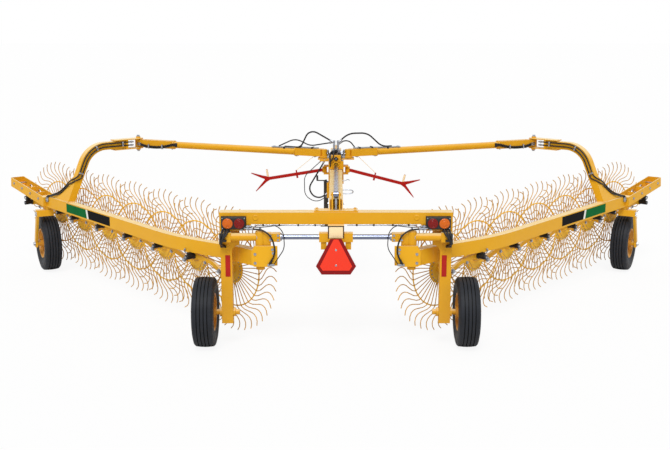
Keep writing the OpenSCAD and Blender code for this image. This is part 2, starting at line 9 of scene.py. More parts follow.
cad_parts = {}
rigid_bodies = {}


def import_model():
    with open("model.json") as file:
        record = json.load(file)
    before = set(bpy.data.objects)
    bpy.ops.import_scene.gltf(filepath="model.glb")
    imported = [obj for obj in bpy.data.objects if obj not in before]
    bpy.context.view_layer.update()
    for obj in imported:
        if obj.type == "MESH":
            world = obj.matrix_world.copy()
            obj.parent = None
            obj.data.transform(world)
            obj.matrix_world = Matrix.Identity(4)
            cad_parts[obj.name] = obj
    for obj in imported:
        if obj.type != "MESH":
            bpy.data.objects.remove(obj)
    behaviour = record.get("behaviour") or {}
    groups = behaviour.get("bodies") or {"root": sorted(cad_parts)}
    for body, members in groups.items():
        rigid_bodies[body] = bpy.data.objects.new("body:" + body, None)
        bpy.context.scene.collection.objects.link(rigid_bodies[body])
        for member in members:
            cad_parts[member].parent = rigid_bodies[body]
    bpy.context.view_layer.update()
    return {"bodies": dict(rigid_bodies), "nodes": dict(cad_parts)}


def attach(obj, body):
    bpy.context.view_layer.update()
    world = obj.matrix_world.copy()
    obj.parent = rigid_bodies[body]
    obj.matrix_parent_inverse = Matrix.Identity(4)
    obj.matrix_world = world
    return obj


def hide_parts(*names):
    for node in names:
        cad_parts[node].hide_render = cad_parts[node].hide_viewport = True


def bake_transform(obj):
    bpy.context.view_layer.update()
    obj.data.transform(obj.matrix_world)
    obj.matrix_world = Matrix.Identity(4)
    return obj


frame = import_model()
scene = bpy.context.scene
scene.view_settings.view_transform = "Standard"
sides = ("left", "right")
print("packed model loaded,", len(frame["nodes"]), "nodes")

# Camera, at the photograph's place behind the rake
photoCamera = {"place": (0, -14.9925, 3.6456), "tilt": 11.371, "lens": 59.104, "sensor": 36, "shift": -0.0015,
               "farthest": 200}
camera = bpy.data.objects.new("rearCamera", bpy.data.cameras.new("rearCamera"))
scene.collection.objects.link(camera)
camera.location = photoCamera["place"]
camera.rotation_euler = (math.radians(90 - photoCamera["tilt"]), 0, 0)
camera.data.lens = photoCamera["lens"]
camera.data.sensor_width = photoCamera["sensor"]
camera.data.shift_x = photoCamera["shift"]
camera.data.clip_end = photoCamera["farthest"]
scene.camera = camera

# Places: millimetres from the rear axle on the ground, drawn for the left side and mirrored for the right
rearAxle = -3.510
armLine = {"base": (-1120, 220, 0), "turn": 38.65}
boomLine = {"base": (-150, 2450, 1780), "turn": 67.69}
hubLine = {"v": 80, "first": 150, "pitch": 730, "height": 770, "skew": 9.35}
hubs = range(1, 8)
up, down, rearward, forward, outward, inward = (0, 0, 1), (0, 0, -1), (0, -1, 0), (0, 1, 0), (-1, 0, 0), (1, 0, 0)


def fromAxle(side="left"):
    place = Matrix.Translation((0, rearAxle, 0)) @ Matrix.Scale(0.001, 4)
    return place if side == "left" else Matrix.Scale(-1, 4, (1, 0, 0)) @ place


def turn(degrees, axis):
    return Matrix.Rotation(math.radians(degrees), 4, axis)


def shift(x, y, z):
    return Matrix.Translation((x, y, z))


def facing(x, y, z, way):
    # a place whose local +X looks along way
    return shift(x, y, z) @ Vector(way).normalized().to_track_quat("X", "Z").to_matrix().to_4x4()


def onArm(side):
    return fromAxle(side) @ shift(*armLine["base"]) @ turn(armLine["turn"], "Z")


def onBoom(side):
    return fromAxle(side) @ shift(*boomLine["base"]) @ turn(boomLine["turn"], "Z")


def atHub(side, i):
    along = hubLine["first"] + hubLine["pitch"] * (i - 1)
    return onArm(side) @ shift(hubLine["v"], along, hubLine["height"]) @ turn(hubLine["skew"], "Z")


# Shapes. Each gives a small bmesh in millimetres, which join() lays into a piece
def bar(low, high, edge, steps=2):
    part = bmesh.new()
    size = Vector(high) - Vector(low)
    centre = (Vector(high) + Vector(low)) / 2
    bmesh.ops.create_cube(part, size=1, matrix=Matrix.Translation(centre) @ Matrix.Diagonal((*size, 1)))
    bmesh.ops.bevel(part, geom=part.edges[:], offset=edge, segments=steps, profile=0.5, affect="EDGES", material=-1)
    return part


def plate(outline, thick):
    part = bmesh.new()
    face = part.faces.new([part.verts.new((x, y, 0)) for x, y in outline])
    made = bmesh.ops.extrude_face_region(part, geom=[face])["geom"]
    bmesh.ops.translate(part, vec=(0, 0, thick), verts=[v for v in made if isinstance(v, bmesh.types.BMVert)])
    bmesh.ops.recalc_face_normals(part, faces=part.faces)
    return part


def spun(part, geom, steps):
    bmesh.ops.spin(part, geom=geom, axis=(1, 0, 0), cent=(0, 0, 0), angle=math.tau, steps=steps, use_merge=True)
    bmesh.ops.remove_doubles(part, verts=part.verts, dist=0.01)
    bmesh.ops.recalc_face_normals(part, faces=part.faces)
    return part


def turned(profile, steps):
    # a profile of (distance along X, radius), spun round X
    part = bmesh.new()
    verts = [part.verts.new((x, r, 0)) for x, r in profile]
    return spun(part, verts + [part.edges.new(pair) for pair in zip(verts, verts[1:])], steps)


def hoop(radius, thick, steps):
    # a ring of round wire about X
    part = bmesh.new()
    made = bmesh.ops.create_circle(part, cap_ends=False, segments=8, radius=thick, matrix=shift(0, radius, 0))["verts"]
    return spun(part, made + part.edges[:], steps)


def carriedFrames(points):
    # an upright frame at each point of a path, carried along it without twist
    points = [Vector(p) for p in points]
    last = len(points) - 1
    ways = [(points[min(i + 1, last)] - points[max(i - 1, 0)]).normalized() for i in range(last + 1)]
    swing = ways[0].to_track_quat("Z", "Y")
    frames = [Matrix.Translation(points[0]) @ swing.to_matrix().to_4x4()]
    for i in range(1, last + 1):
        swing = ways[i - 1].rotation_difference(ways[i]) @ swing
        frames.append(Matrix.Translation(points[i]) @ swing.to_matrix().to_4x4())
    return frames


def wire(points, radius, around=8):
    # a circle drawn out along a path
    part = bmesh.new()
    frames = carriedFrames(points)
    bmesh.ops.create_circle(part, cap_ends=True, segments=around, radius=radius, matrix=frames[0])
    loop = part.edges[:]
    for before, after in zip(frames, frames[1:]):
        made = bmesh.ops.extrude_edge_only(part, edges=loop)["geom"]
        loop = [e for e in made if isinstance(e, bmesh.types.BMEdge)]
        bmesh.ops.transform(part, matrix=after @ before.inverted(),
                            verts=[v for v in made if isinstance(v, bmesh.types.BMVert)])
    bmesh.ops.edgeloop_fill(part, edges=loop)
    bmesh.ops.recalc_face_normals(part, faces=part.faces)
    return part


def softPath(points, steps=5):
    # a smooth line through a few points
    points = [Vector(p) for p in points]
    ends = [2 * points[0] - points[1]] + points + [2 * points[-1] - points[-2]]
    path = []
    for a, b, c, d in zip(ends, ends[1:], ends[2:], ends[3:]):
        for k in range(steps):
            t = k / steps
            path.append(0.5 * (2 * b + (c - a) * t + (2 * a - 5 * b + 4 * c - d) * t ** 2
                               + (3 * b - 3 * c + d - a) * t ** 3))
    return path + [points[-1]]


def hexBolt(across, height, washer=True):
    # a hexagon head with its washer, standing on the Y-Z plane and facing +X
    washerRadius = across * 0.78
    part = turned([(0, 0), (0, washerRadius), (2.5, washerRadius), (3, 0)], 12) if washer else bmesh.new()
    bmesh.ops.create_cone(part, cap_ends=True, segments=6, radius1=across * 0.577, radius2=across * 0.53,
                          depth=height, matrix=shift(3 + height / 2, 0, 0) @ turn(90, "Y"))
    return part


plugProfile = ((0, 0), (0, 1), (0.1, 1), (0.2, 0.87), (0.2, 0.67), (0.14, 0.58), (0.14, 0))  # for a radius of 1


def roundPlug(radius):
    return turned([(x * radius, r * radius) for x, r in plugProfile], 28)


def join(piece, part, place=Matrix.Identity(4), finish=0):
    for face in part.faces:
        face.material_index = finish
    bmesh.ops.transform(part, matrix=place, verts=part.verts)
    mesh = bpy.data.meshes.new("part")
    part.to_mesh(mesh)
    part.free()
    piece.from_mesh(mesh)
    bpy.data.meshes.remove(mesh)


def addBolts(piece, at, way, size, spots, finish=1):
    for spot in spots:
        join(piece, hexBolt(*size), at @ facing(*spot, way), finish)


def addPlugs(piece, at, way, radius, spots, finish=0):
    for spot in spots:
        join(piece, roundPlug(radius), at @ facing(*spot, way), finish)


def addTurned(piece, at, way, profile, steps, spots, finish=1):
    for spot in spots:
        join(piece, turned(profile, steps), at @ facing(*spot, way), finish)


def addWires(piece, at, routes, radius, finish=1, around=10):
    for route in routes:
        join(piece, wire(route, radius, around), at, finish)


def addLeads(piece, at, routes, radius, finish=2, around=8, steps=5):
    addWires(piece, at, [softPath(route, steps) for route in routes], radius, finish, around)


def addBars(piece, at, bars, edge, finish=0):
    for low, high in bars:
        join(piece, bar(low, high, edge), at, finish)


def addDiamond(piece, at, centre, low, high, finish):
    addBars(piece, at @ shift(*centre) @ turn(45, "Y"), [(low, high)], 2, finish)


def addAll(piece, at, fittings):
    # under each fitting's name stand the function that adds it and what that function takes
    for add, *values in fittings.values():
        add(piece, at, *values)


def finishPiece(name, piece, used, body=None, sharp=40):
    bmesh.ops.recalc_face_normals(piece, faces=piece.faces)
    mesh = bpy.data.meshes.new(name)
    piece.to_mesh(mesh)
    piece.free()
    for finish in used:
        mesh.materials.append(finishes[finish])
    mesh.polygons.foreach_set("use_smooth", [True] * len(mesh.polygons))
    mesh.set_sharp_from_angle(angle=math.radians(sharp))
    obj = bpy.data.objects.new(name, mesh)
    scene.collection.objects.link(obj)
    if body:
        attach(obj, body)
    return obj


def pairOf(name, build, on, body, used, stands=(), sharp=40):
    for side in sides:
        piece = bmesh.new()
        if isinstance(build, dict):
            addAll(piece, on(side), build)
        else:
            build(piece, on(side), side)
        rides = body if body in frame["bodies"] else f"{body}_{side}"
        obj = finishPiece(f"{name}.{side}", piece, used, rides, sharp)
        if stands:
            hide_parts(*[node if node in frame["nodes"] else f"{node}_{side}" for node in stands])


def oneOf(name, fittings, body, used):
    piece = bmesh.new()
    addAll(piece, fromAxle(), fittings)
    finishPiece(name, piece, used, body)


# Finishes
def feed(tree, socket, value):
    if isinstance(value, bpy.types.NodeSocket):
        tree.links.new(value, socket)
    else:
        socket.default_value = value


def newNode(tree, kind, inputs=(), **values):
    node = tree.nodes.new(kind)
    for name, value in values.items():
        setattr(node, name, value)
    for socket, value in inputs:
        feed(tree, node.inputs[socket], value)
    return node


def maths(tree, operation, a, b, clamp=False):
    return newNode(tree, "ShaderNodeMath", [(0, a), (1, b)], operation=operation, use_clamp=clamp).outputs[0]


def spread(tree, value, low, high, start=0.0, end=1.0):
    return newNode(tree, "ShaderNodeMapRange", [("Value", value), ("From Min", start), ("From Max", end),
                                                ("To Min", low), ("To Max", high)]).outputs[0]


def mixColour(tree, factor, a, b):
    return newNode(tree, "ShaderNodeMix", [(0, factor), (6, a), (7, b)], data_type="RGBA").outputs[2]


def noise(tree, where, scale, detail, roughness=0.5):
    return newNode(tree, "ShaderNodeTexNoise", [("Vector", where), ("Scale", scale), ("Detail", detail),
                                                ("Roughness", roughness)]).outputs["Fac"]


def ownPlace(tree):
    return newNode(tree, "ShaderNodeTexCoord").outputs["Object"]


def newGroup(name, inputs, values=(), colours=()):
    tree = bpy.data.node_groups.new(name, "ShaderNodeTree")
    for label, start in inputs.items():
        kind = "NodeSocketColor" if isinstance(start, tuple) else "NodeSocketFloat"
        tree.interface.new_socket(label, in_out="INPUT", socket_type=kind).default_value = start
    for labels, kind in ((colours, "NodeSocketColor"), (values, "NodeSocketFloat")):
        for label in labels:
            tree.interface.new_socket(label, in_out="OUTPUT", socket_type=kind)
    return tree, tree.nodes.new("NodeGroupInput").outputs, tree.nodes.new("NodeGroupOutput").inputs


blotch = {"grain": 420, "spots": 46, "patches": 5.5, "level": 0.52, "contrast": 22}


def blotchGroup():
    # broad fading, fine grain and a scatter of chips, on the piece's own coordinates
    tree, given, out = newGroup("blotches", {"Scale": 3.0, "Chips": 0.3}, ("Fade", "Grain", "Chip"))
    where = ownPlace(tree)
    patches = noise(tree, where, blotch["patches"], 3)
    spots = maths(tree, "MULTIPLY", noise(tree, where, blotch["spots"], 8, 0.7), patches)
    chip = maths(tree, "SUBTRACT", spots, maths(tree, "SUBTRACT", blotch["level"], given["Chips"]))
    feed(tree, out["Fade"], noise(tree, where, given["Scale"], 5, 0.6))
    feed(tree, out["Grain"], noise(tree, where, blotch["grain"], 2))
    feed(tree, out["Chip"], maths(tree, "MULTIPLY", chip, blotch["contrast"], clamp=True))
    return tree


edgeWear = {"breaks": 60, "strength": 9}


def edgeGroup():
    # bare or dulled edges: where a rounded normal departs from the face's own
    tree, given, out = newGroup("edgeWear", {"Reach": 0.006, "Amount": 0.6}, ("Edge",))
    rounded = newNode(tree, "ShaderNodeBevel", [("Radius", given["Reach"])], samples=4)
    plain = newNode(tree, "ShaderNodeNewGeometry")
    dot = newNode(tree, "ShaderNodeVectorMath", [(0, rounded.outputs[0]), (1, plain.outputs["Normal"])],
                  operation="DOT_PRODUCT")
    bent = maths(tree, "SUBTRACT", 1.0, dot.outputs["Value"])
    broken = maths(tree, "MULTIPLY", bent, noise(tree, ownPlace(tree), edgeWear["breaks"], 6))
    strong = maths(tree, "MULTIPLY", broken, edgeWear["strength"], clamp=True)
    feed(tree, out["Edge"], maths(tree, "MULTIPLY", strong, given["Amount"]))
    return tree


fieldDustAndHighlight = {"drift": 7, "highUp": 0.12, "slope": (0.35, 0.95), "patchy": (0.55, 1.2)}


def dustAndHighlightGroup():
    # field dust, most near the ground, and a painted highlight that lightens faces that look up
    tree, given, out = newGroup("fieldDustAndHighlight", {"Colour": (0.5, 0.5, 0.5, 1), "Dust": (0.46, 0.36, 0.22, 1),
                                              "HighlightColour": (0.92, 0.74, 0.4, 1), "Reach": 0.8, "Amount": 0.4, "Bloom": 0.0},
                                ("Mask",), ("Colour",))
    where = ownPlace(tree)
    height = newNode(tree, "ShaderNodeSeparateXYZ", [(0, where)])
    low = spread(tree, height.outputs["Z"], 1.0, fieldDustAndHighlight["highUp"], end=given["Reach"])
    drift = noise(tree, where, fieldDustAndHighlight["drift"], 6, 0.65)
    mask = maths(tree, "MULTIPLY", maths(tree, "MULTIPLY", low, drift), given["Amount"], clamp=True)
    soiled = mixColour(tree, mask, given["Colour"], given["Dust"])
    face = newNode(tree, "ShaderNodeSeparateXYZ", [(0, newNode(tree, "ShaderNodeNewGeometry").outputs["Normal"])])
    upper = spread(tree, face.outputs["Z"], 0.0, 1.0, *fieldDustAndHighlight["slope"])
    litFaces = maths(tree, "MULTIPLY", upper, spread(tree, drift, *fieldDustAndHighlight["patchy"]))
    topHighlight = maths(tree, "MULTIPLY", litFaces, given["Bloom"], clamp=True)
    feed(tree, out["Colour"], mixColour(tree, topHighlight, soiled, given["HighlightColour"]))
    feed(tree, out["Mask"], mask)
    return tree


shared = {"blotches": blotchGroup(), "edges": edgeGroup(), "dust": dustAndHighlightGroup()}


def useGroup(tree, name, **values):
    return newNode(tree, "ShaderNodeGroup", values.items(), node_tree=shared[name]).outputs


def linear(colour):
    # a screen colour of 0 to 255 as the shader takes it
    screen = [c / 255 for c in colour]
    return (*[c / 12.92 if c <= 0.04045 else ((c + 0.055) / 1.055) ** 2.4 for c in screen], 1)


def startMaterial(name, plain):
    material = bpy.data.materials.new(name)
    material.use_nodes = True
    for socket, value in plain.items():
        material.node_tree.nodes["Principled BSDF"].inputs[socket].default_value = value
    return material, material.node_tree


def finished(material, colour, rough, height, strength, distance):
    tree = material.node_tree
    bump = newNode(tree, "ShaderNodeBump", [("Height", height), ("Strength", strength), ("Distance", distance)])
    for socket, value in (("Base Color", colour), ("Roughness", rough), ("Normal", bump.outputs[0])):
        feed(tree, tree.nodes["Principled BSDF"].inputs[socket], value)
    return material


bareSteel = (128, 100, 64)
enamel = {"fade": 2.4, "edge": 0.005, "rough": (0.36, 0.52), "bump": (0.12, 0.0006),
          "gloss": {"Specular IOR Level": 0.12, "Coat Weight": 0.06, "Coat Roughness": 0.16}}


def paint(name, colour, deep, bare=bareSteel, chips=0.05, wear=0.5, dust=0.3, reach=1.0, topHighlight=0.0):
    # enamel over steel: slow colour drift, orange peel, chips, worn edges and dust, with a painted highlight on faces
    # that look up where asked
    material, tree = startMaterial(name, enamel["gloss"])
    marks = useGroup(tree, "blotches", Scale=enamel["fade"], Chips=chips)
    base = mixColour(tree, marks["Fade"], linear(deep), linear(colour))
    edge = useGroup(tree, "edges", Reach=enamel["edge"], Amount=wear)
    base = mixColour(tree, maths(tree, "MAXIMUM", marks["Chip"], edge["Edge"]), base, linear(bare))
    soiled = useGroup(tree, "dust", Colour=base, Reach=reach, Amount=dust, Bloom=topHighlight)
    rough = spread(tree, maths(tree, "ADD", marks["Fade"], soiled["Mask"]), *enamel["rough"])
    return finished(material, soiled["Colour"], rough, marks["Grain"], *enamel["bump"])


steel = {"detail": 5, "rough": (0.1, -0.05), "depth": 0.0004}


def metal(name, colour, dark, rough, streak=(60, 60, 60), bump=0.1, metallic=1.0):
    # drawn or plated steel: streaks along the part
    material, tree = startMaterial(name, {"Metallic": metallic})
    lay = newNode(tree, "ShaderNodeMapping", [("Vector", ownPlace(tree)), ("Scale", streak)])
    lines = noise(tree, lay.outputs[0], 1, steel["detail"])
    base = mixColour(tree, lines, linear(dark), linear(colour))
    dull = spread(tree, lines, *[rough + change for change in steel["rough"]])
    return finished(material, base, dull, lines, bump, steel["depth"])


rubber = {"mottle": 9, "detail": 4, "rough": (-0.08, 0.1), "depth": 0.0006, "groove": 0.03, "shade": (0.45, 0.9)}


def moulded(name, colour, light, rough, scale, bump=0.2, dust=0.2, reach=1.0, shine=0.3, groove=None):
    # rubber and plastic: a fine mottled skin with dust, and painted shade darkening it down in any grooves
    material, tree = startMaterial(name, {"Specular IOR Level": shine})
    where = ownPlace(tree)
    skin = noise(tree, where, scale, rubber["detail"])
    base = mixColour(tree, noise(tree, where, rubber["mottle"], rubber["detail"]), linear(colour), linear(light))
    if groove:
        # painted shade: ambient occlusion darkens the colour down in the grooves
        near = newNode(tree, "ShaderNodeAmbientOcclusion", [("Distance", rubber["groove"])], samples=8, only_local=True)
        clear = spread(tree, near.outputs["AO"], 0.0, 1.0, *rubber["shade"])
        base = mixColour(tree, clear, linear(groove), base)
    soiled = useGroup(tree, "dust", Colour=base, Reach=reach, Amount=dust)
    dull = spread(tree, skin, *[rough + change for change in rubber["rough"]])
    return finished(material, soiled["Colour"], dull, skin, bump, rubber["depth"])


prisms = {"scale": 150, "rough": (0.12, 0.3), "bump": (0.5, 0.002),
          "gloss": {"Specular IOR Level": 0.2, "Coat Weight": 0.12, "Coat Roughness": 0.05}}


def lensPlastic(name, colour, deep):
    # a moulded lens: small square prisms under a clear gloss
    material, tree = startMaterial(name, prisms["gloss"])
    cells = newNode(tree, "ShaderNodeTexVoronoi", [("Vector", ownPlace(tree)), ("Scale", prisms["scale"])],
                    distance="CHEBYCHEV").outputs["Distance"]
    base = mixColour(tree, cells, linear(colour), linear(deep))
    return finished(material, base, spread(tree, cells, *prisms["rough"]), cells, *prisms["bump"])


film = {"jitter": 0.15, "line": 0.12, "tone": 6, "rough": (0.28, 0.42), "bump": (0.1, 0.0004),
        "gloss": {"Specular IOR Level": 0.15, "Coat Weight": 0.06}}


def sheeting(name, colour, deep, cell):
    # retro-reflective film: fine honeycomb cells under a smooth face
    material, tree = startMaterial(name, film["gloss"])
    where = ownPlace(tree)
    cells = newNode(tree, "ShaderNodeTexVoronoi", [("Vector", where), ("Scale", cell), ("Randomness", film["jitter"])],
                    feature="DISTANCE_TO_EDGE")
    line = spread(tree, cells.outputs["Distance"], 0.0, 1.0, end=film["line"])
    tone = noise(tree, where, film["tone"], 4)
    base = mixColour(tree, line, linear(deep), mixColour(tree, tone, linear(deep), linear(colour)))
    return finished(material, base, spread(tree, tone, *film["rough"]), line, *film["bump"])


yellow = (229, 170, 30)
yellowDeep = (216, 152, 20)
decal = {"rough": 0.5, "scale": 300, "bump": 0.05, "dust": 0.02, "shine": 0.03}
finishes = {
    # the frame, arm and boom paints also paint a highlight on the faces that look up
    "framePaint": paint("framePaint", yellow, yellowDeep, dust=0.22, topHighlight=0.8),
    "armPaint": paint("armPaint", (236, 178, 34), (224, 160, 22), dust=0.2, topHighlight=0.95),
    "boomPaint": paint("boomPaint", yellow, yellowDeep, dust=0.1, topHighlight=0.3),
    "rimPaint": paint("rimPaint", (224, 158, 30), (190, 122, 20), chips=0.1, dust=0.5, reach=0.7),
    # cream: where it covers the post's rear face it is a painted highlight
    "creamPaintAndHighlight": paint("creamPaintAndHighlight", (252, 228, 186), (246, 214, 160), wear=0.3, dust=0.12),
    "forkRed": paint("forkRed", (186, 26, 18), (150, 14, 12), chips=0.08, wear=0.25, dust=0.06),
    "wheelYellow": paint("wheelYellow", (250, 204, 58), (236, 176, 42), (112, 80, 42), chips=0.1, wear=0.0, dust=0.3),
    "tineSteel": metal("tineSteel", (255, 196, 70), (118, 72, 16), 0.5, streak=(20, 20, 20), metallic=0.0),
    "chrome": metal("chromeRod", (143, 149, 170), (101, 107, 128), 0.16, streak=(8, 260, 260), bump=0.04),
    "zinc": metal("zincFitting", (196, 200, 208), (112, 116, 124), 0.3),
    # the tyre's near-black groove colour is painted shade
    "tyreRubber": moulded("tyreRubber", (25, 27, 31), (42, 45, 52), 0.55, 260, dust=0.02, reach=0.5, shine=0.18,
                          groove=(4, 4, 5)),
    "blackSteel": paint("blackSteel", (32, 32, 34), (20, 20, 22), (96, 88, 80), chips=0.06, wear=0.25, dust=0.2),
    "hoseRubber": moulded("hoseRubber", (18, 18, 20), (34, 34, 37), 0.45, 600, bump=0.3, dust=0.06),
    "lampPlastic": moulded("lampPlastic", (24, 25, 28), (38, 39, 42), 0.42, 500, dust=0.08, reach=2.0),
    "redLens": lensPlastic("redLens", (142, 15, 7), (84, 4, 3)),
    "amberLens": lensPlastic("amberLens", (224, 114, 22), (178, 70, 8)),
    "signFace": sheeting("signFace", (244, 66, 42), (238, 58, 36), 260),
    "signBorder": sheeting("signBorder", (150, 20, 20), (124, 12, 14), 300),
    "reflector": sheeting("redReflector", (204, 44, 34), (156, 22, 18), 420),
    "decalBlack": moulded("decalBlack", (7, 7, 8), (16, 16, 17), **decal),
    "decalGreen": moulded("decalGreen", (0, 92, 42), (6, 106, 50), **decal),
    "decalWhite": moulded("decalWhite", (222, 222, 216), (236, 236, 232), 0.4, 300, bump=0.05, dust=0.05),
}
nodeFinish = {
    "framePaint": ("cross_beam", "leg_", "centre_post", "tongue", "hitch", "saddle_plate", "hinge_brackets",
                   "width_cylinders"),
    "armPaint": ("arm_", "neck_", "cranks_", "caster_fork_"),
    "boomPaint": ("boom_", "carriage", "fold_cylinder"),
    "rimPaint": ("rear_rim_", "front_rim_"),
    "forkRed": ("fork_left", "fork_right"),
    "tineSteel": ("rake_wheel_",),
    "chrome": ("cylinder_rods",),
    "zinc": ("valve_block",),
    "tyreRubber": ("rear_tyre_", "front_tyre_"),
    "blackSteel": ("float_units_", "jack_"),
    "hoseRubber": ("hose_", "hinge_hoses_"),
    "lampPlastic": ("lamp_boxes",),
    "redLens": ("red_lenses",),
    "amberLens": ("amber_lenses",),
    "signFace": ("sign_face",),
    "signBorder": ("sign_border",),
}
for finish, starts in nodeFinish.items():
    for name, obj in frame["nodes"].items():
        if name.startswith(starts):
            obj.data.materials.clear()
            obj.data.materials.append(finishes[finish])
print("finishes made:", len(finishes))

# Free hoses: the corners of each route and its one bend radius. Those of the arms' hinges are on both sides
hoseRings = {"bend": 8, "gap": 48, "around": 10}  # steps round each bend, spacing of rings on the straights, sides round each ring
hoses = {
    "archHoseLeft": {"to": "boom_left", "node": "hose_left", "radius": 10, "bend": 105, "lay": "loose", "corners": (
        (-46, 2450, 1926), (-335, 2462, 2092), (-452, 2545, 1840), (-660, 2659, 1840))},
    "lowHoseLeft": {"to": "boom_left", "node": "hose_left", "radius": 8, "bend": 200, "corners": (
        (-46, 2486, 1912), (-330, 2530, 1862), (-520, 2602, 1950), (-740, 2692, 1840))},
    "archHoseRight": {"to": "boom_right", "node": "hose_right", "radius": 10, "bend": 215, "lay": "loose", "corners": (
        (46, 2450, 1926), (150, 2456, 2030), (400, 2516, 2030), (590, 2630, 1841), (720, 2684, 1841))},
    "lowHoseRight": {"to": "boom_right", "node": "hose_right", "radius": 8, "bend": 105, "lay": "loose", "corners": (
        (46, 2486, 1900), (150, 2500, 1968), (240, 2530, 1842))},
    "slackHose": {"node": "hose_left", "radius": 10, "bend": 108, "corners": (
        (-140, 2346, 1700), (-352, 2290, 1350), (-250, 2262, 1196), (-104, 2290, 1290))},
    "slackCable": {"radius": 5, "bend": 130, "corners": (
        (-190, 2346, 1694), (-402, 2330, 1500), (-398, 2316, 1250), (-250, 2304, 1164), (-108, 2296, 1250))},
}
hingeHoses = {
    "bowHose": {"radius": 9, "bend": 180, "corners": (
        (-872, -150, 1322), (-690, -200, 1316), (-632, -226, 1090), (-692, -214, 966))},
    "bowCable": {"radius": 5, "bend": 140, "corners": (
        (-640, -110, 1348), (-552, -170, 1330), (-540, -225, 1130), (-664, -212, 940))},
}
for name, hose in hingeHoses.items():
    for side, way in zip(sides, (1, -1)):
        hoses[f"{name}.{side}"] = {**hose, "corners": [(way * x, y, z) for x, y, z in hose["corners"]],
                                   "node": f"hinge_hoses_{side}", "from": "frame", "to": f"arm_{side}"}


def hoseRoute(corners, radius):
    # straight between the corners, with a round bend at each
    corners, steps = [Vector(c) for c in corners], hoseRings["bend"]
    route = [corners[0]]
    for before, p, after in zip(corners, corners[1:], corners[2:]):
        a, b = (before - p).normalized(), (after - p).normalized()
        half = a.angle(b) / 2
        bend = math.pi - 2 * half
        centre = p + (a + b).normalized() * radius / math.sin(half)
        u = (p + a * radius / math.tan(half) - centre).normalized()
        v = (p + b * radius / math.tan(half) - centre).normalized()
        for k in range(steps + 1):
            aim = math.sin(bend * (steps - k) / steps) * u + math.sin(bend * k / steps) * v
            route.append(centre + radius * aim / math.sin(bend))
    route.append(corners[-1])
    full = [route[0]]
    for a, b in zip(route, route[1:]):
        parts = max(1, round((b - a).length / hoseRings["gap"]))
        full += [a.lerp(b, k / parts) for k in range(1, parts + 1)]
    return full


for name, hose in hoses.items():
    route = [fromAxle() @ p for p in hoseRoute(hose["corners"], hose["bend"])]
    piece = bmesh.new()
    join(piece, wire(route, hose["radius"] / 1000, hoseRings["around"]))
    start, end = hose.get("from", "carriage"), hose.get("to")
    obj = finishPiece(name, piece, ("hoseRubber",), None if end else start)
    if end:
        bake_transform(obj)
    if "node" in hose:
        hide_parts(hose["node"])
print("hoses laid:", len(hoses))

# Raking wheels: bent round tines through a ring, on a bolted hub disc. A tine is drawn as (radius, angle)
rakeWheel = {
    "tines": 40, "tineRadius": 5.3, "ring": 420, "ringWire": 7,
    "tine": ((146, 0), (400, 0), (440, -1.2), (475, -5.5), (510, -11.4), (545, -16), (580, -18.4), (620, -19),
             (660, -17.8), (699, -15)),
    "disc": ((-5, 24), (-5, 62), (-9, 74), (-9, 92), (-5, 98), (-5, 130), (-9, 136), (-9, 160), (-5, 166), (-1, 168),
             (5, 168), (9, 162), (9, 80), (14, 66), (14, 46), (36, 44), (40, 38), (40, 0)),
    "hubTube": ((-6, 18.6), (-80, 18.6), (-80, 40), (-74, 45), (-6, 45), (-6, 18.6)),
    "rimBolts": 20, "rimCircle": 146, "hubBolts": 4, "hubCircle": 56}


def roundAxle(count):
    return [Matrix.Rotation(math.tau * k / count, 4, "X") for k in range(count)]


def makeRakeWheel():
    wheel, ring, count = bmesh.new(), rakeWheel["ring"], rakeWheel["tines"]
    angled = [(r, math.radians(a)) for r, a in rakeWheel["tine"]]
    tine = wire([(0, r * math.cos(a), r * math.sin(a)) for r, a in angled], rakeWheel["tineRadius"], 5)
    bmesh.ops.spin(tine, geom=tine.verts[:] + tine.edges[:] + tine.faces[:], axis=(1, 0, 0), cent=(0, 0, 0),
                   angle=math.tau * (count - 1) / count, steps=count - 1, use_duplicate=True)
    join(wheel, tine)
    join(wheel, hoop(ring, rakeWheel["ringWire"], 72), shift(6, 0, 0), 1)
    for spin in roundAxle(count):  # wire clips
        join(wheel, bar((-5, ring - 9, -7), (13, ring + 9, 7), 2, 1), spin, 1)
    join(wheel, turned(rakeWheel["disc"], 36), finish=1)
    join(wheel, turned(rakeWheel["hubTube"], 24), finish=1)
    for spin in roundAxle(rakeWheel["rimBolts"]):
        addBolts(wheel, spin, outward, (13, 7, False), [(-7, rakeWheel["rimCircle"], 0)], 2)
    for spin in roundAxle(rakeWheel["hubBolts"]):
        addBolts(wheel, spin, inward, (19, 10), [(13, rakeWheel["hubCircle"], 0)], 2)
    mesh = bpy.data.meshes.new("rakeWheel")
    wheel.to_mesh(mesh)
    wheel.free()
    return mesh


wheelPattern = makeRakeWheel()
for side in sides:
    for i in hubs:
        wheel = bmesh.new()
        wheel.from_mesh(wheelPattern)
        bmesh.ops.transform(wheel, matrix=atHub(side, i), verts=wheel.verts)
        body = f"rake_wheel_{side}_{i}"
        obj = finishPiece(f"rakeWheel.{side}.{i}", wheel, ("tineSteel", "wheelYellow", "zinc"), body)
        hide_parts(body)
bpy.data.meshes.remove(wheelPattern)
print("raking wheels made:", 2 * len(hubs))

# Small fittings. Tail lamps: a rounded housing with two ribbed lenses
lamp = {"centre": (-1082, 1377), "half": (129, 67), "back": -80, "front": -126, "flange": 5, "round": 13,
        "lensPitch": 122, "ring": 57, "ringWire": 4.5, "screw": 6,
        "lens": ((0, 0), (0, 55), (7, 55), (10, 53), (11, 48), (14, 43), (14, 37), (12, 35), (16, 28), (18, 16),
                 (18.5, 0))}


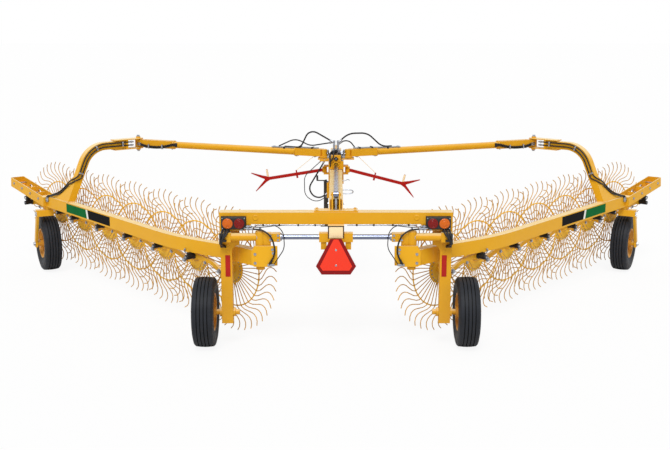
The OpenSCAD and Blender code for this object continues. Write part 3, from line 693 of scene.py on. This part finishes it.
def lampHousing(piece, at, side):
    (x, z), (wide, high), rim = lamp["centre"], lamp["half"], lamp["flange"]
    back, front = lamp["back"], lamp["front"]
    join(piece, bar((x - wide - rim, back - 9, z - high - rim), (x + wide + rim, back, z + high + rim), 4), at)
    join(piece, bar((x - wide, front, z - high), (x + wide, back - 4, z + high), lamp["round"], 3), at)
    for m in (-1, 1):
        ring = facing(x + m * lamp["lensPitch"] / 2, front - 2, z, rearward)
        join(piece, hoop(lamp["ring"], lamp["ringWire"], 40), at @ ring)
        corners = [(x + m * (wide - 12), front, z + h * (high - 13)) for h in (-1, 1)]
        addPlugs(piece, at, rearward, lamp["screw"], corners, 1)


def lampLens(m):
    def build(piece, at, side):
        spot = (lamp["centre"][0] + m * lamp["lensPitch"] / 2, lamp["front"], lamp["centre"][1])
        addTurned(piece, at, rearward, lamp["lens"], 40, [spot], 0)
    return build


pairOf("lampHousing", lampHousing, fromAxle, "frame", ("lampPlastic", "zinc"), ("lamp_boxes",))
pairOf("redLens", lampLens(1), fromAxle, "frame", ("redLens",), ("red_lenses",), 60)
pairOf("amberLens", lampLens(-1), fromAxle, "frame", ("amberLens",), ("amber_lenses",), 60)

# Rear frame: plugs, leg reflectors, hose couplings, conduit and lamp cables
coupling = ((-38, 0), (-38, 9), (-34, 11), (-12, 11), (-12, 17), (14, 17), (16, 13))
rear = {
    "plug": (addPlugs, rearward, 30, [(-852, -80, 1430)]),
    "legPlugs": (addPlugs, rearward, 19, [(-1152, -50, 1118), (-1152, -50, 1060)]),
    "reflector": (addBars, [((-1181, -54, 783), (-1128, -50, 1018))], 1.5, 3),
    "bulkhead": (addBars, [((-928, -168, 1304), (-920, -74, 1362))], 2, 1),
    "hoseCoupling": (addTurned, (1, -0.22, -0.03), (*coupling, (52, 13), (52, 0)), 16, [(-924, -140, 1324)]),
    "leadCoupling": (addTurned, (1, -0.22, -0.03), (*coupling, (34, 13), (34, 0)), 16, [(-924, -112, 1342)]),
    "conduit": (addWires, [((-860, -74, 1351), (-120, -74, 1351))], 8),
    "beamLead": (addLeads, [((-890, -119, 1341), (-840, -108, 1334), (-760, -96, 1334), (-660, -86, 1344),
                             (-560, -78, 1350), (-470, -74, 1352))], 5),
    "clips": (addBars, [((x - 9, -86, 1340), (x + 9, -60, 1362)) for x in (-770, -600, -400, -220)], 3, 2),
    "lampCables": (addLeads, (
        ((-1196, -104, 1312), (-1200, -150, 1296), (-1208, -178, 1262), (-1216, -182, 1222), (-1216, -176, 1184),
         (-1208, -120, 1152), (-1196, -60, 1128)),
        ((-1166, -104, 1312), (-1168, -152, 1298), (-1178, -182, 1264), (-1194, -190, 1222), (-1206, -184, 1178),
         (-1202, -130, 1142), (-1174, -60, 1110)),
        ((-1130, -104, 1312), (-1136, -150, 1300), (-1152, -180, 1272), (-1176, -192, 1240), (-1200, -190, 1204),
         (-1222, -154, 1174), (-1226, -100, 1150), (-1212, -60, 1122))), 11, 2, 9),
    "cableClamps": (addBars, [((-1228, -200, 1192), (-1150, -163, 1214)),
                              ((-1229, -88, 1108), (-1172, -49, 1134))], 5, 2),
    "lampPlug": (addBars, [((-1228, -186, 1226), (-1184, -163, 1282))], 7, 2),
    "endBlockBolts": (addBolts, rearward, (17, 9), [(x, -166, z) for x in (-690, -610) for z in (1256, 1208)]),
    "endPlateBolts": (addBolts, rearward, (17, 8), [(x, -80, 1301) for x in (-1190, -1150, -1000)]),
    "hingeCap": (addTurned, up, ((0, 0), (0, 46), (8, 46), (12, 40), (12, 26), (22, 24), (26, 18), (26, 0)), 28,
                 [(-800, -120, 1290)], 0),
    "hingeBolt": (addBolts, up, (22, 12), [(-800, -120, 1314)]),
    "rodGland": (addTurned, inward, ((0, 31), (0, 46), (16, 46), (20, 42), (20, 31)), 28, [(-836, -120, 1232)]),
    "rodRing": (addTurned, inward, ((0, 28), (0, 40), (14, 40), (18, 36), (18, 28), (0, 28)), 28,
                [(-588, -120, 1232)]),
    "saddleBolts": (addBolts, up, (28, 10), [(-204, -50, 1502), (-204, 60, 1502)], 0)}
pairOf("rearFittings", rear, fromAxle, "frame", ("framePaint", "zinc", "hoseRubber", "reflector"))

# Centre line: sign bolts, a cream plate on the post's rear face as painted highlight, framed in black as painted shade,
# wire handles and the pipes along the drawbar
pipeRoute = ((2790, 1520), (3400, 1520), (4320, 1520), (4400, 1494), (5300, 1096), (6240, 672), (6320, 640),
             (7080, 522))
pipeClips = ((3050, 1520), (3700, 1520), (4250, 1520), (5000, 1228), (5700, 918), (6500, 613), (7000, 535))
pipes = [[(84, y, z - drop) for y, z in pipeRoute] for drop in (0, 22)]
middle = {
    "signBolts": (addPlugs, rearward, 11, [(0, -215, 1110), (0, -215, 945)], 1),
    # a cream plate on the post's rear face: a painted highlight for the light on that face
    "highlightPlate": (addBars, [((-73, -180, 1230), (73, -174, 1352))], 2, 3),
    # the black frame round that plate is painted shade along its edges
    "seal": (addBars, [((-85, -183, 1228), (-76, -173, 1361)), ((76, -183, 1228), (85, -173, 1361)),
                       ((-85, -183, 1352), (85, -173, 1361))], 2, 2),
    "saddlePin": (addTurned, up, ((0, 0), (0, 27), (20, 27), (24, 23), (92, 23), (96, 19), (122, 19), (122, 0)), 24,
                  [(0, 18, 1502)]),
    "handle": (addLeads, [((70, 900, 1562), (130, 900, 1566), (184, 900, 1558), (194, 900, 1541), (180, 900, 1526),
                           (130, 900, 1520), (70, 900, 1522))], 6, 1),
    "hook": (addLeads, [((70, 1940, 1500), (110, 1940, 1506), (150, 1940, 1520), (166, 1940, 1506))], 4.5, 1),
    "pipes": (addWires, pipes, 8, 2),
    "pipeEnds": (addTurned, (0, 1, -0.16), ((0, 0), (0, 13), (8, 15), (34, 15), (36, 11), (70, 11), (74, 15), (88, 15),
                                            (90, 0)), 16, [pipe[-1] for pipe in pipes]),
    "pipeClips": (addBars, [((74, y - 12, z - 36), (96, y + 12, z + 14)) for y, z in pipeClips], 4, 2),
    "hitchBolts": (addBolts, forward, (24, 13), [(x, 7225, z) for x in (-54, 54) for z in (446, 554)]),
    "leftFootBolts": (addBolts, outward, (22, 11), [(-75, 170, 1470), (-75, 170, 1540)]),
    "rightFootBolts": (addBolts, inward, (22, 11), [(75, 170, 1470), (75, 170, 1540)])}
oneOf("centreFittings", middle, "frame", ("framePaint", "zinc", "hoseRubber", "creamPaintAndHighlight"))

# Carriage: bolted rear plate, valve fittings and hose ends
unionRows = (2414, 2450, 2486)
sideUnion = ((0, 0), (0, 16), (12, 16), (14, 12), (36, 12), (38, 15), (54, 15), (58, 10), (58, 0))
barUnion = ((0, 0), (0, 15), (14, 15), (16, 11), (46, 11), (48, 14), (64, 14), (68, 9), (68, 0))
hoseEnd = ((-30, 0), (-30, 14), (-6, 14), (-4, 12.5), (42, 12.5), (42, 0))
carriage = {
    "plate": (addBars, [((-60, 2208, 1700), (60, 2222, 1786))], 3),
    "diamond": (addDiamond, (0, 2208, 1740), (-28, -8, -28), (28, 2, 28), 0),
    "diamondPad": (addDiamond, (0, 2208, 1740), (-22, -18, -22), (22, -6, 22), 2),
    "plug": (addPlugs, rearward, 7, [(0, 2190, 1740)], 1),
    "coils": (addTurned, rearward, ((-4, 0), (-4, 19), (4, 22), (44, 22), (48, 18), (48, 9), (62, 8), (64, 0)), 20,
              [(-46, 2392, 1796), (2, 2392, 1812), (46, 2392, 1772)], 2),
    "bolts": (addBolts, up, (22, 11), [(x, y, 1706) for x in (-78, 78) for y in (2262, 2636)]),
    "topUnions": (addTurned, up, ((0, 0), (0, 19), (14, 19), (16, 15), (40, 15), (42, 18), (58, 18), (60, 15), (88, 13),
                                  (92, 17), (106, 17), (110, 12), (110, 0)), 6,
                  [(x, y, 1826) for x in (-24, 24) for y in unionRows]),
    "leftUnions": (addTurned, outward, sideUnion, 8, [(-58, 2426, 1782), (-58, 2474, 1770)]),
    "rightUnions": (addTurned, inward, sideUnion, 8, [(58, 2426, 1776), (58, 2474, 1788)]),
    "rearUnions": (addTurned, rearward, ((0, 0), (0, 11), (16, 11), (18, 8), (26, 8), (26, 0)), 10,
                   [(-30, 2390, 1742), (0, 2390, 1742), (30, 2390, 1742), (-15, 2390, 1790), (15, 2390, 1790)]),
    "manifolds": (addBars, [((x - 26, 2396, 1706), (x + 26, 2504, 1752)) for x in (-88, 88)], 5, 1),
    "leftBarUnions": (addTurned, (-22, 0, 88), barUnion, 6, [(-88, y, 1752) for y in unionRows]),
    "rightBarUnions": (addTurned, (22, 0, 88), barUnion, 6, [(88, y, 1752) for y in unionRows]),
    "loops": (addLeads, (
        ((-116, 2426, 1782), (-150, 2426, 1784), (-166, 2430, 1764), (-152, 2438, 1742), (-120, 2440, 1734)),
        ((116, 2474, 1788), (150, 2474, 1790), (168, 2470, 1768), (152, 2462, 1744), (122, 2462, 1734))), 9),
    "rearHoses": (addLeads, (
        ((-38, 2392, 1798), (-64, 2330, 1806), (-78, 2252, 1772), (-76, 2210, 1716), (-72, 2203, 1676),
         (-74, 2216, 1640)),
        ((-12, 2386, 1766), (-20, 2320, 1800), (-30, 2240, 1800), (-34, 2192, 1764), (-62, 2192, 1716),
         (-80, 2210, 1690))), 8),
    "archEndLeft": (addTurned, (-289, 12, 166), hoseEnd, 12, [(-46, 2450, 1926)]),
    "lowEndLeft": (addTurned, (-284, 44, -50), hoseEnd, 12, [(-46, 2486, 1912)]),
    "archEndRight": (addTurned, (104, 6, 104), hoseEnd, 12, [(46, 2450, 1926)]),
    "lowEndRight": (addTurned, (104, 14, 68), hoseEnd, 12, [(46, 2486, 1900)]),
    "slackHoseTop": (addTurned, (-212, -56, -350), ((-4, 0), (-4, 15), (10, 15), (12, 13), (46, 13), (46, 0)), 12,
                     [(-140, 2346, 1704)]),
    "slackCableTop": (addTurned, (-212, -16, -194), ((-4, 0), (-4, 10), (8, 10), (10, 8), (30, 8), (30, 0)), 12,
                      [(-190, 2346, 1694)]),
    "slackHoseFoot": (addTurned, (-146, -28, -94), ((-22, 0), (-22, 15), (-4, 15), (-2, 13), (42, 13), (42, 0)), 12,
                      [(-104, 2290, 1290)]),
    "slackCableFoot": (addTurned, (-142, 8, -86), ((-12, 0), (-12, 10), (0, 10), (2, 8), (26, 8), (26, 0)), 12,
                       [(-108, 2296, 1250)]),
    "brackets": (addBars, [((-206, 2330, 1688), (-92, 2364, 1706)), ((-116, 2270, 1228), (-84, 2310, 1424))], 3)}
oneOf("carriageFittings", carriage, "carriage", ("boomPaint", "zinc", "hoseRubber"))

# Booms: pivot caps, collars, hard pipes, hose ends and the red forks' sleeves and stays
boomCollar = ((0, 40), (0, 58), (4, 60), (16, 56), (20, 48), (20, 40))
boomPipe = ((84, 60), (300, 58), (420, 53), (560, 49), (700, 49))
boomHose = ((-60, 2700, 4), (-61, 2600, -22), (-61, 2470, -30), (-60, 2350, -22), (-60, 2250, 0), (-58, 2196, 14),
            (-50, 2150, 16))
boom = {
    "cap": (addTurned, up, ((0, 0), (0, 36), (3, 36), (6, 30), (6, 0)), 28, [(0, 0, 44)], 0),
    "rootCollar": (addTurned, forward, boomCollar, 28, [(0, 390, 0)], 0),
    "outerCollar": (addTurned, rearward, boomCollar, 28, [(0, 2201, 0)], 0),
    "pipes": (addLeads, [[(x, y, z) for y, z in boomPipe] for x in (-20, 20)], 6.5, 1),
    "pipeEnds": (addTurned, forward, ((0, 0), (0, 12), (22, 12), (24, 9), (30, 9), (30, 0)), 6,
                 [(-20, 700, 49), (20, 700, 49)]),
    "clamps": (addBars, [((-34, 149, 46), (34, 171, 72)), ((-34, 319, 46), (34, 341, 72)),
                         ((-34, 540, 30), (34, 562, 60))], 5, 2),
    "rootBolts": (addBolts, down, (20, 12), [(x, y, -42) for y in (120, 372) for x in (-26, 26)]),
    "pinBolts": (addBolts, down, (22, 12), [(0, 2230, -50), (0, 2640, -50)]),
    "pinPlugs": (addPlugs, up, 17, [(0, 2230, 50), (0, 2640, 50)]),
    "hoses": (addLeads, [[(x, y, z - drop) for x, y, z in boomHose] for drop in (0, 20)], 9, 2, 9),
    "hoseEnds": (addTurned, forward, ((-20, 0), (-20, 11), (0, 11), (2, 14), (20, 14), (24, 11), (40, 11), (40, 0)), 12,
                 [(-60, 2704, 4), (-60, 2704, -16)]),
    "hoseClips": (addBars, [((-74, 2340, -60), (-46, 2360, 2)), ((-74, 2550, -60), (-46, 2570, 2))], 5, 1),
    "hoseGuide": (addBars, [((-64, 2126, -22), (-34, 2160, 30))], 6, 2)}
redFork = {
    "tipSleeve": (addTurned, up, ((24, 9), (24, 13), (112, 13), (116, 9)), 14, [(730, 0, 0)], 3),
    "stub": (addTurned, up, ((-52, 0), (-52, 12), (-20, 12), (-20, 0)), 14, [(360, 0, 0)], 4),
    "bolts": (addBolts, rearward, (18, 10), [(60, -13, 0), (360, -13, 0), (730, -13, 0)])}
forkPin = {"place": (-146, 2450, 1568), "droop": {"left": 9.2, "right": 14.5},
           "bush": ((-37, 0), (-37, 30), (37, 30), (37, 0)), "stay": ((360, 0, 46), (-6, 130, -38)), "stayWire": 0.003}


def boomParts(piece, at, side):
    addAll(piece, at, boom)
    home, pin = fromAxle(side), forkPin["place"]
    fork = home @ shift(*pin) @ turn(180, "Z") @ turn(forkPin["droop"][side], "Y")
    addTurned(piece, home, up, forkPin["bush"], 24, [pin], 0)
    addAll(piece, fork, redFork)
    low, high = forkPin["stay"]
    join(piece, wire([fork @ Vector(low), at @ Vector(high)], forkPin["stayWire"]), finish=3)


pairOf("boomFittings", boomParts, onBoom, "boom",
       ("boomPaint", "zinc", "hoseRubber", "creamPaintAndHighlight", "forkRed"))

# Float units: slim sprung housings that the cranks turn in, on brackets under the arm. The last hangs from the nose
floatUnit = {
    "height": 112, "reach": 414, "short": 6, "shortReach": 180, "bracket": (-286, -222), "half": 20, "under": 162,
    "nose": 266, "cap": ((0, 14), (0, 26), (6, 28), (11, 24), (11, 14)),
    "body": ((-304, 0), (-304, 20), (-300, 26), (-292, 28), (-214, 28), (-210, 33), (-198, 33), (-195, 30), (-195, 0))}


def crankReach(i):
    return floatUnit["shortReach"] if i == floatUnit["short"] else floatUnit["reach"]


def floatUnits(piece, at, side):
    (near, far), half = floatUnit["bracket"], floatUnit["half"]
    for i in hubs:
        hub, y, z = atHub(side, i), crankReach(i), floatUnit["height"]
        top = floatUnit["nose"] if i == hubs[-1] else floatUnit["under"]
        join(piece, turned(floatUnit["body"], 24), hub @ shift(0, y, z))
        addBars(piece, hub, [((near, y - half, z + 14), (far, y + half, top))], 4)
        addTurned(piece, hub, outward, floatUnit["cap"], 24, [(-303, y, z)], 1)
        addBolts(piece, hub, outward, (26, 13), [(-304, y, z)], 2)


pairOf("floatUnits", floatUnits, onArm, "arm", ("blackSteel", "hoseRubber", "zinc"), ("float_units",))

# Arms: hoses clamped up the necks, plain stripes, float hooks, nose pins and the hinge hoses' ends
neck = {
    "base": (-235, 3550, 1080), "lean": 24, "straight": 552, "bend": 330, "face": -60, "hoseEnd": 1300,
    "clamps": (395, 800, 1180), "tail": ((-30, 0), (-30, 11), (0, 11), (2, 14), (22, 14), (26, 10), (44, 10), (44, 0)),
    "foot": ((-14, 0), (-14, 16), (6, 16), (8, 12.5), (40, 12.5), (40, 0))}
neckHoses = (
    {"out": 31, "start": 380, "low": ((-310, 4114, 1038), (-310, 4106, 1070), (-301, 4084, 1094), (-282, 4040, 1103)),
     "gusset": ((-44, 420, 34), (-44, 330, 66), (-44, 240, 122), (-45, 170, 190), (-56, 100, 246), (-62, 30, 282),
                (-62, -22, 304), (-55, -56, 330))},
    {"out": -12, "start": 340, "low": ((-310, 4078, 1036), (-310, 4070, 1068), (-303, 4048, 1093), (-292, 4000, 1100)),
     "gusset": ((-62, 380, 16), (-46, 290, 50), (-44, 220, 96), (-45, 150, 160), (-56, 80, 208), (-62, 10, 240),
                (-62, -30, 258), (-54, -57, 280))})
armStripes = {"low": 952, "high": 1066, "lean": 32, "face": -300, "thick": 1.4,
              "runs": ((2300, 2876, 0, 1), (2880, 2926, 1, 1), (2930, 3520, 1, 0))}  # from, to, then which ends slant
nose = {"start": 4200, "rise": 0.132}


def onNose(height, places):
    # places along the arm's nose, with a height that climbs with its floor
    return [(u, height + (u - nose["start"]) * nose["rise"]) for u in places]


nosePins, noseLugs = onNose(1022, (4290, 4560, 4830, 5100)), onNose(962, (4420, 4700))
lugHook = ((0, 96), (30, 128), (62, 120), (70, 92))
arm = {
    "hoseFoot": (addBars, [((-326, 4060, 1012), (-298, 4132, 1032))], 4, 1),
    "pins": (addWires, [((-346, u, z), (-164, u, z)) for u, z in nosePins], 9),
    "outerPinBolts": (addBolts, outward, (24, 11), [(-350, u, z) for u, z in nosePins]),
    "innerPinBolts": (addBolts, inward, (24, 11), [(-160, u, z) for u, z in nosePins]),
    "lugs": (addBars, [((-300, u - 7, z - 8), (-210, u + 7, z + 108)) for u, z in noseLugs], 3),
    "lugHooks": (addLeads, [[(-255, u + y, z + h) for y, h in lugHook] for u, z in noseLugs], 6, 1),
    "clevisTop": (addBolts, up, (34, 17), [(810, 3550, 1870)]),
    "clevisFoot": (addBolts, down, (34, 17), [(810, 3550, 1690)]),
    "weld": (addWires, [((-288, 3496, 1083), (-182, 3496, 1083), (-182, 3604, 1083), (-288, 3604, 1083),
                         (-288, 3496, 1083))], 6, 0, 6)}
armHinge = {
    "bolts": (addBolts, rearward, (20, 10), [(-668, -200, 1112), (-660, -200, 1072), (-852, -200, 1062),
                                             (-852, -200, 966)]),
    "clip": (addBars, [((-722, -227, 938), (-648, -198, 962))], 4, 1),
    "hoseEnd": (addTurned, (60, -12, 124), ((-14, 0), (-14, 15), (8, 15), (10, 12), (48, 12), (48, 0)), 12,
                [(-694, -214, 964)], 2)}
neckClamp = {
    "bar": (addBars, [((-44, -73, -12), (24, -49, 12))], 5, 1),
    "bolt": (addBolts, rearward, (13, 7, False), [(-8, -73, 0)])}
crankHook = ((-252, 14, 148), (-252, 52, 140), (-254, 78, 146), (-258, 90, 168), (-262, 78, 190), (-264, 58, 186))


def neckPlace(side, along):
    foot = onArm(side) @ shift(*neck["base"]) @ turn(neck["lean"], "Y")
    past = along - neck["straight"]
    if past <= 0:
        return foot @ shift(0, 0, along)
    swing = min(past / neck["bend"], math.radians(90 - neck["lean"]))
    centre = foot @ shift(neck["bend"], 0, neck["straight"]) @ Matrix.Rotation(swing, 4, "Y")
    return centre @ shift(-neck["bend"], 0, past - swing * neck["bend"])


def armParts(piece, at, side):
    end = neck["hoseEnd"]
    for hose in neckHoses:
        lane = Vector((-hose["out"], neck["face"], 0))
        route = [at @ Vector(p) for p in hose["low"]] + [neckPlace(side, 0) @ Vector(p) for p in hose["gusset"]]
        route += [neckPlace(side, a) @ lane for a in (*range(hose["start"], end - 30, 80), end)]
        join(piece, wire(softPath(route, 4), 0.009, 9), finish=2)
        addTurned(piece, neckPlace(side, end), up, neck["tail"], 12, [lane])
        addTurned(piece, at, (0, -8, 32), neck["foot"], 12, hose["low"][:1])
    addAll(piece, at, arm)
    for along in neck["clamps"]:
        addAll(piece, neckPlace(side, along), neckClamp)
    upright = Matrix(((0, 0, -1, armStripes["face"]), (1, 0, 0, 0), (0, 1, 0, 0), (0, 0, 0, 1)))
    lean, low, high = armStripes["lean"], armStripes["low"], armStripes["high"]
    for finish, (a, b, slantA, slantB) in enumerate(armStripes["runs"], 3):
        outline = [(a, low), (b, low), (b + lean * slantB, high), (a + lean * slantA, high)]
        join(piece, plate(outline, armStripes["thick"]), at @ upright, finish)
    for i in hubs:
        hub, reach = atHub(side, i), crankReach(i)
        addLeads(piece, hub, [[(x, y + reach, z) for x, y, z in crankHook]], 7, 1, steps=4)
        addBolts(piece, hub, outward, (38, 17), [(-196, 0, 0)])
        addBolts(piece, hub, outward, (26, 12), [(-196, reach * 0.55, 62)])
    addAll(piece, fromAxle(side), armHinge)


pairOf("armFittings", armParts, onArm, "arm",
       ("armPaint", "zinc", "hoseRubber", "decalBlack", "decalWhite", "decalGreen"))

# Running wheels: nuts, dust caps and valve stems
running = {"nuts": 6, "rear": (-1411, 0, 380), "caster": (-262, 4200, 0), "casterTurn": -12.65, "front": (25, 190, 380)}
wheelNut = {
    "nut": (addBolts, outward, (26, 16), [(11, 92, 0)], 0),
    "head": (addBolts, inward, (22, 9), [(23, 92, 0)], 0)}
wheelHub = {
    "dustCap": (addTurned, outward, ((0, 0), (0, 34), (5, 34), (9, 29), (16, 24), (19, 14), (19, 0)), 28,
                [(-51, 0, 0)], 0),
    "valve": (addTurned, (-1, 0, 0.1), ((-6, 0), (-6, 8), (4, 8), (8, 5), (34, 5), (35, 6.5), (46, 6.5), (47, 0)), 12,
              [(2, 148, 0)])}
casterFork = {
    "topBolt": (addBolts, up, (38, 16), [(0, 0, 968)]),
    "axleBolt": (addBolts, outward, (46, 20), [(-160, 190, 380)]),
    "sideBolts": (addBolts, outward, (20, 10), [(-160, y, z) for z in (846, 816) for y in (-26, 26)]),
    "seal": (addTurned, up, ((0, 22), (0, 50), (8, 50), (10, 46), (10, 22)), 28, [(0, 0, 884)], 0)}


def onCaster(side):
    return onArm(side) @ shift(*running["caster"]) @ turn(running["casterTurn"], "Z")


def onRearWheel(side):
    return fromAxle(side) @ shift(*running["rear"])


def onFrontWheel(side):
    return onCaster(side) @ shift(*running["front"]) @ Matrix.Scale(-1, 4, (1, 0, 0))


def wheelParts(piece, at, side):
    for spin in roundAxle(running["nuts"]):
        addAll(piece, at @ spin, wheelNut)
    addAll(piece, at, wheelHub)


pairOf("rearWheelNuts", wheelParts, onRearWheel, "rear_wheel", ("zinc", "hoseRubber"))
pairOf("frontWheelNuts", wheelParts, onFrontWheel, "front_wheel", ("zinc", "hoseRubber"))
pairOf("casterFittings", casterFork, onCaster, "caster", ("armPaint", "zinc"))

# Parking jack: grip, cap, bracket bolts and foot bolts
jack = {
    "grip": (addTurned, up, ((0, 11), (0, 15), (5, 18), (12, 16), (40, 17), (70, 16), (78, 18), (84, 15), (86, 0)), 18,
             [(-311, 6600, 766)]),
    "cap": (addTurned, up, ((0, 0), (0, 42), (6, 42), (12, 38), (16, 22), (16, 0)), 24, [(-166, 6600, 740)], 0),
    "rearBolts": (addBolts, rearward, (22, 11), [(-100, 6555, 522), (-100, 6555, 578)], 2),
    "frontBolts": (addBolts, forward, (22, 11), [(-100, 6645, 522), (-100, 6645, 578)], 2)}
jackFoot = {
    "bolts": (addBolts, up, (20, 10), [(x, y, 14) for x in (-231, -101) for y in (6535, 6665)], 0),
    "ring": (addTurned, up, ((0, 28), (0, 44), (6, 42), (10, 33), (10, 28)), 24, [(-166, 6600, 13)])}
oneOf("jackFittings", jack, "frame", ("blackSteel", "hoseRubber", "zinc"))
oneOf("jackFootBolts", jackFoot, "jack_leg", ("zinc", "blackSteel"))
print("small fittings placed")

# Light, floor and white surround
studio = {"sun": 1.95, "sunTurn": (38, 0, -6), "sunSpread": 25, "fill": 0.56, "floorWhite": 0.9, "floorHalf": 90,
          "floor": {"Base Color": (0.86, 0.86, 0.86, 1), "Roughness": 0.9}}
sun = bpy.data.objects.new("softSun", bpy.data.lights.new("softSun", "SUN"))
scene.collection.objects.link(sun)
sun.data.energy = studio["sun"]
sun.data.angle = math.radians(studio["sunSpread"])
sun.rotation_euler = [math.radians(a) for a in studio["sunTurn"]]
world = bpy.data.worlds.new("surround")
scene.world = world
world.use_nodes = True
tree = world.node_tree
ray = newNode(tree, "ShaderNodeLightPath").outputs
seen = maths(tree, "MAXIMUM", ray["Is Camera Ray"], ray["Is Glossy Ray"])
seen = maths(tree, "MAXIMUM", seen, ray["Is Transmission Ray"])
surround = tree.nodes["Background"].inputs
surround["Color"].default_value = (1, 1, 1, 1)
feed(tree, surround["Strength"], spread(tree, seen, studio["fill"], 1.0))

finishes["paleFloor"], tree = startMaterial("paleFloor", studio["floor"])
ray = newNode(tree, "ShaderNodeLightPath").outputs
white = newNode(tree, "ShaderNodeEmission", [("Color", (1, 1, 1, 1)), ("Strength", 1.0)])
share = maths(tree, "MULTIPLY", ray["Is Camera Ray"], studio["floorWhite"])
surface = newNode(tree, "ShaderNodeMixShader", [(0, share), (1, tree.nodes["Principled BSDF"].outputs[0]),
                                                (2, white.outputs[0])])
feed(tree, tree.nodes["Material Output"].inputs["Surface"], surface.outputs[0])
floor = bmesh.new()
bmesh.ops.create_grid(floor, x_segments=1, y_segments=1, size=studio["floorHalf"])
finishPiece("paleFloor", floor, ("paleFloor",))
print("stage set")
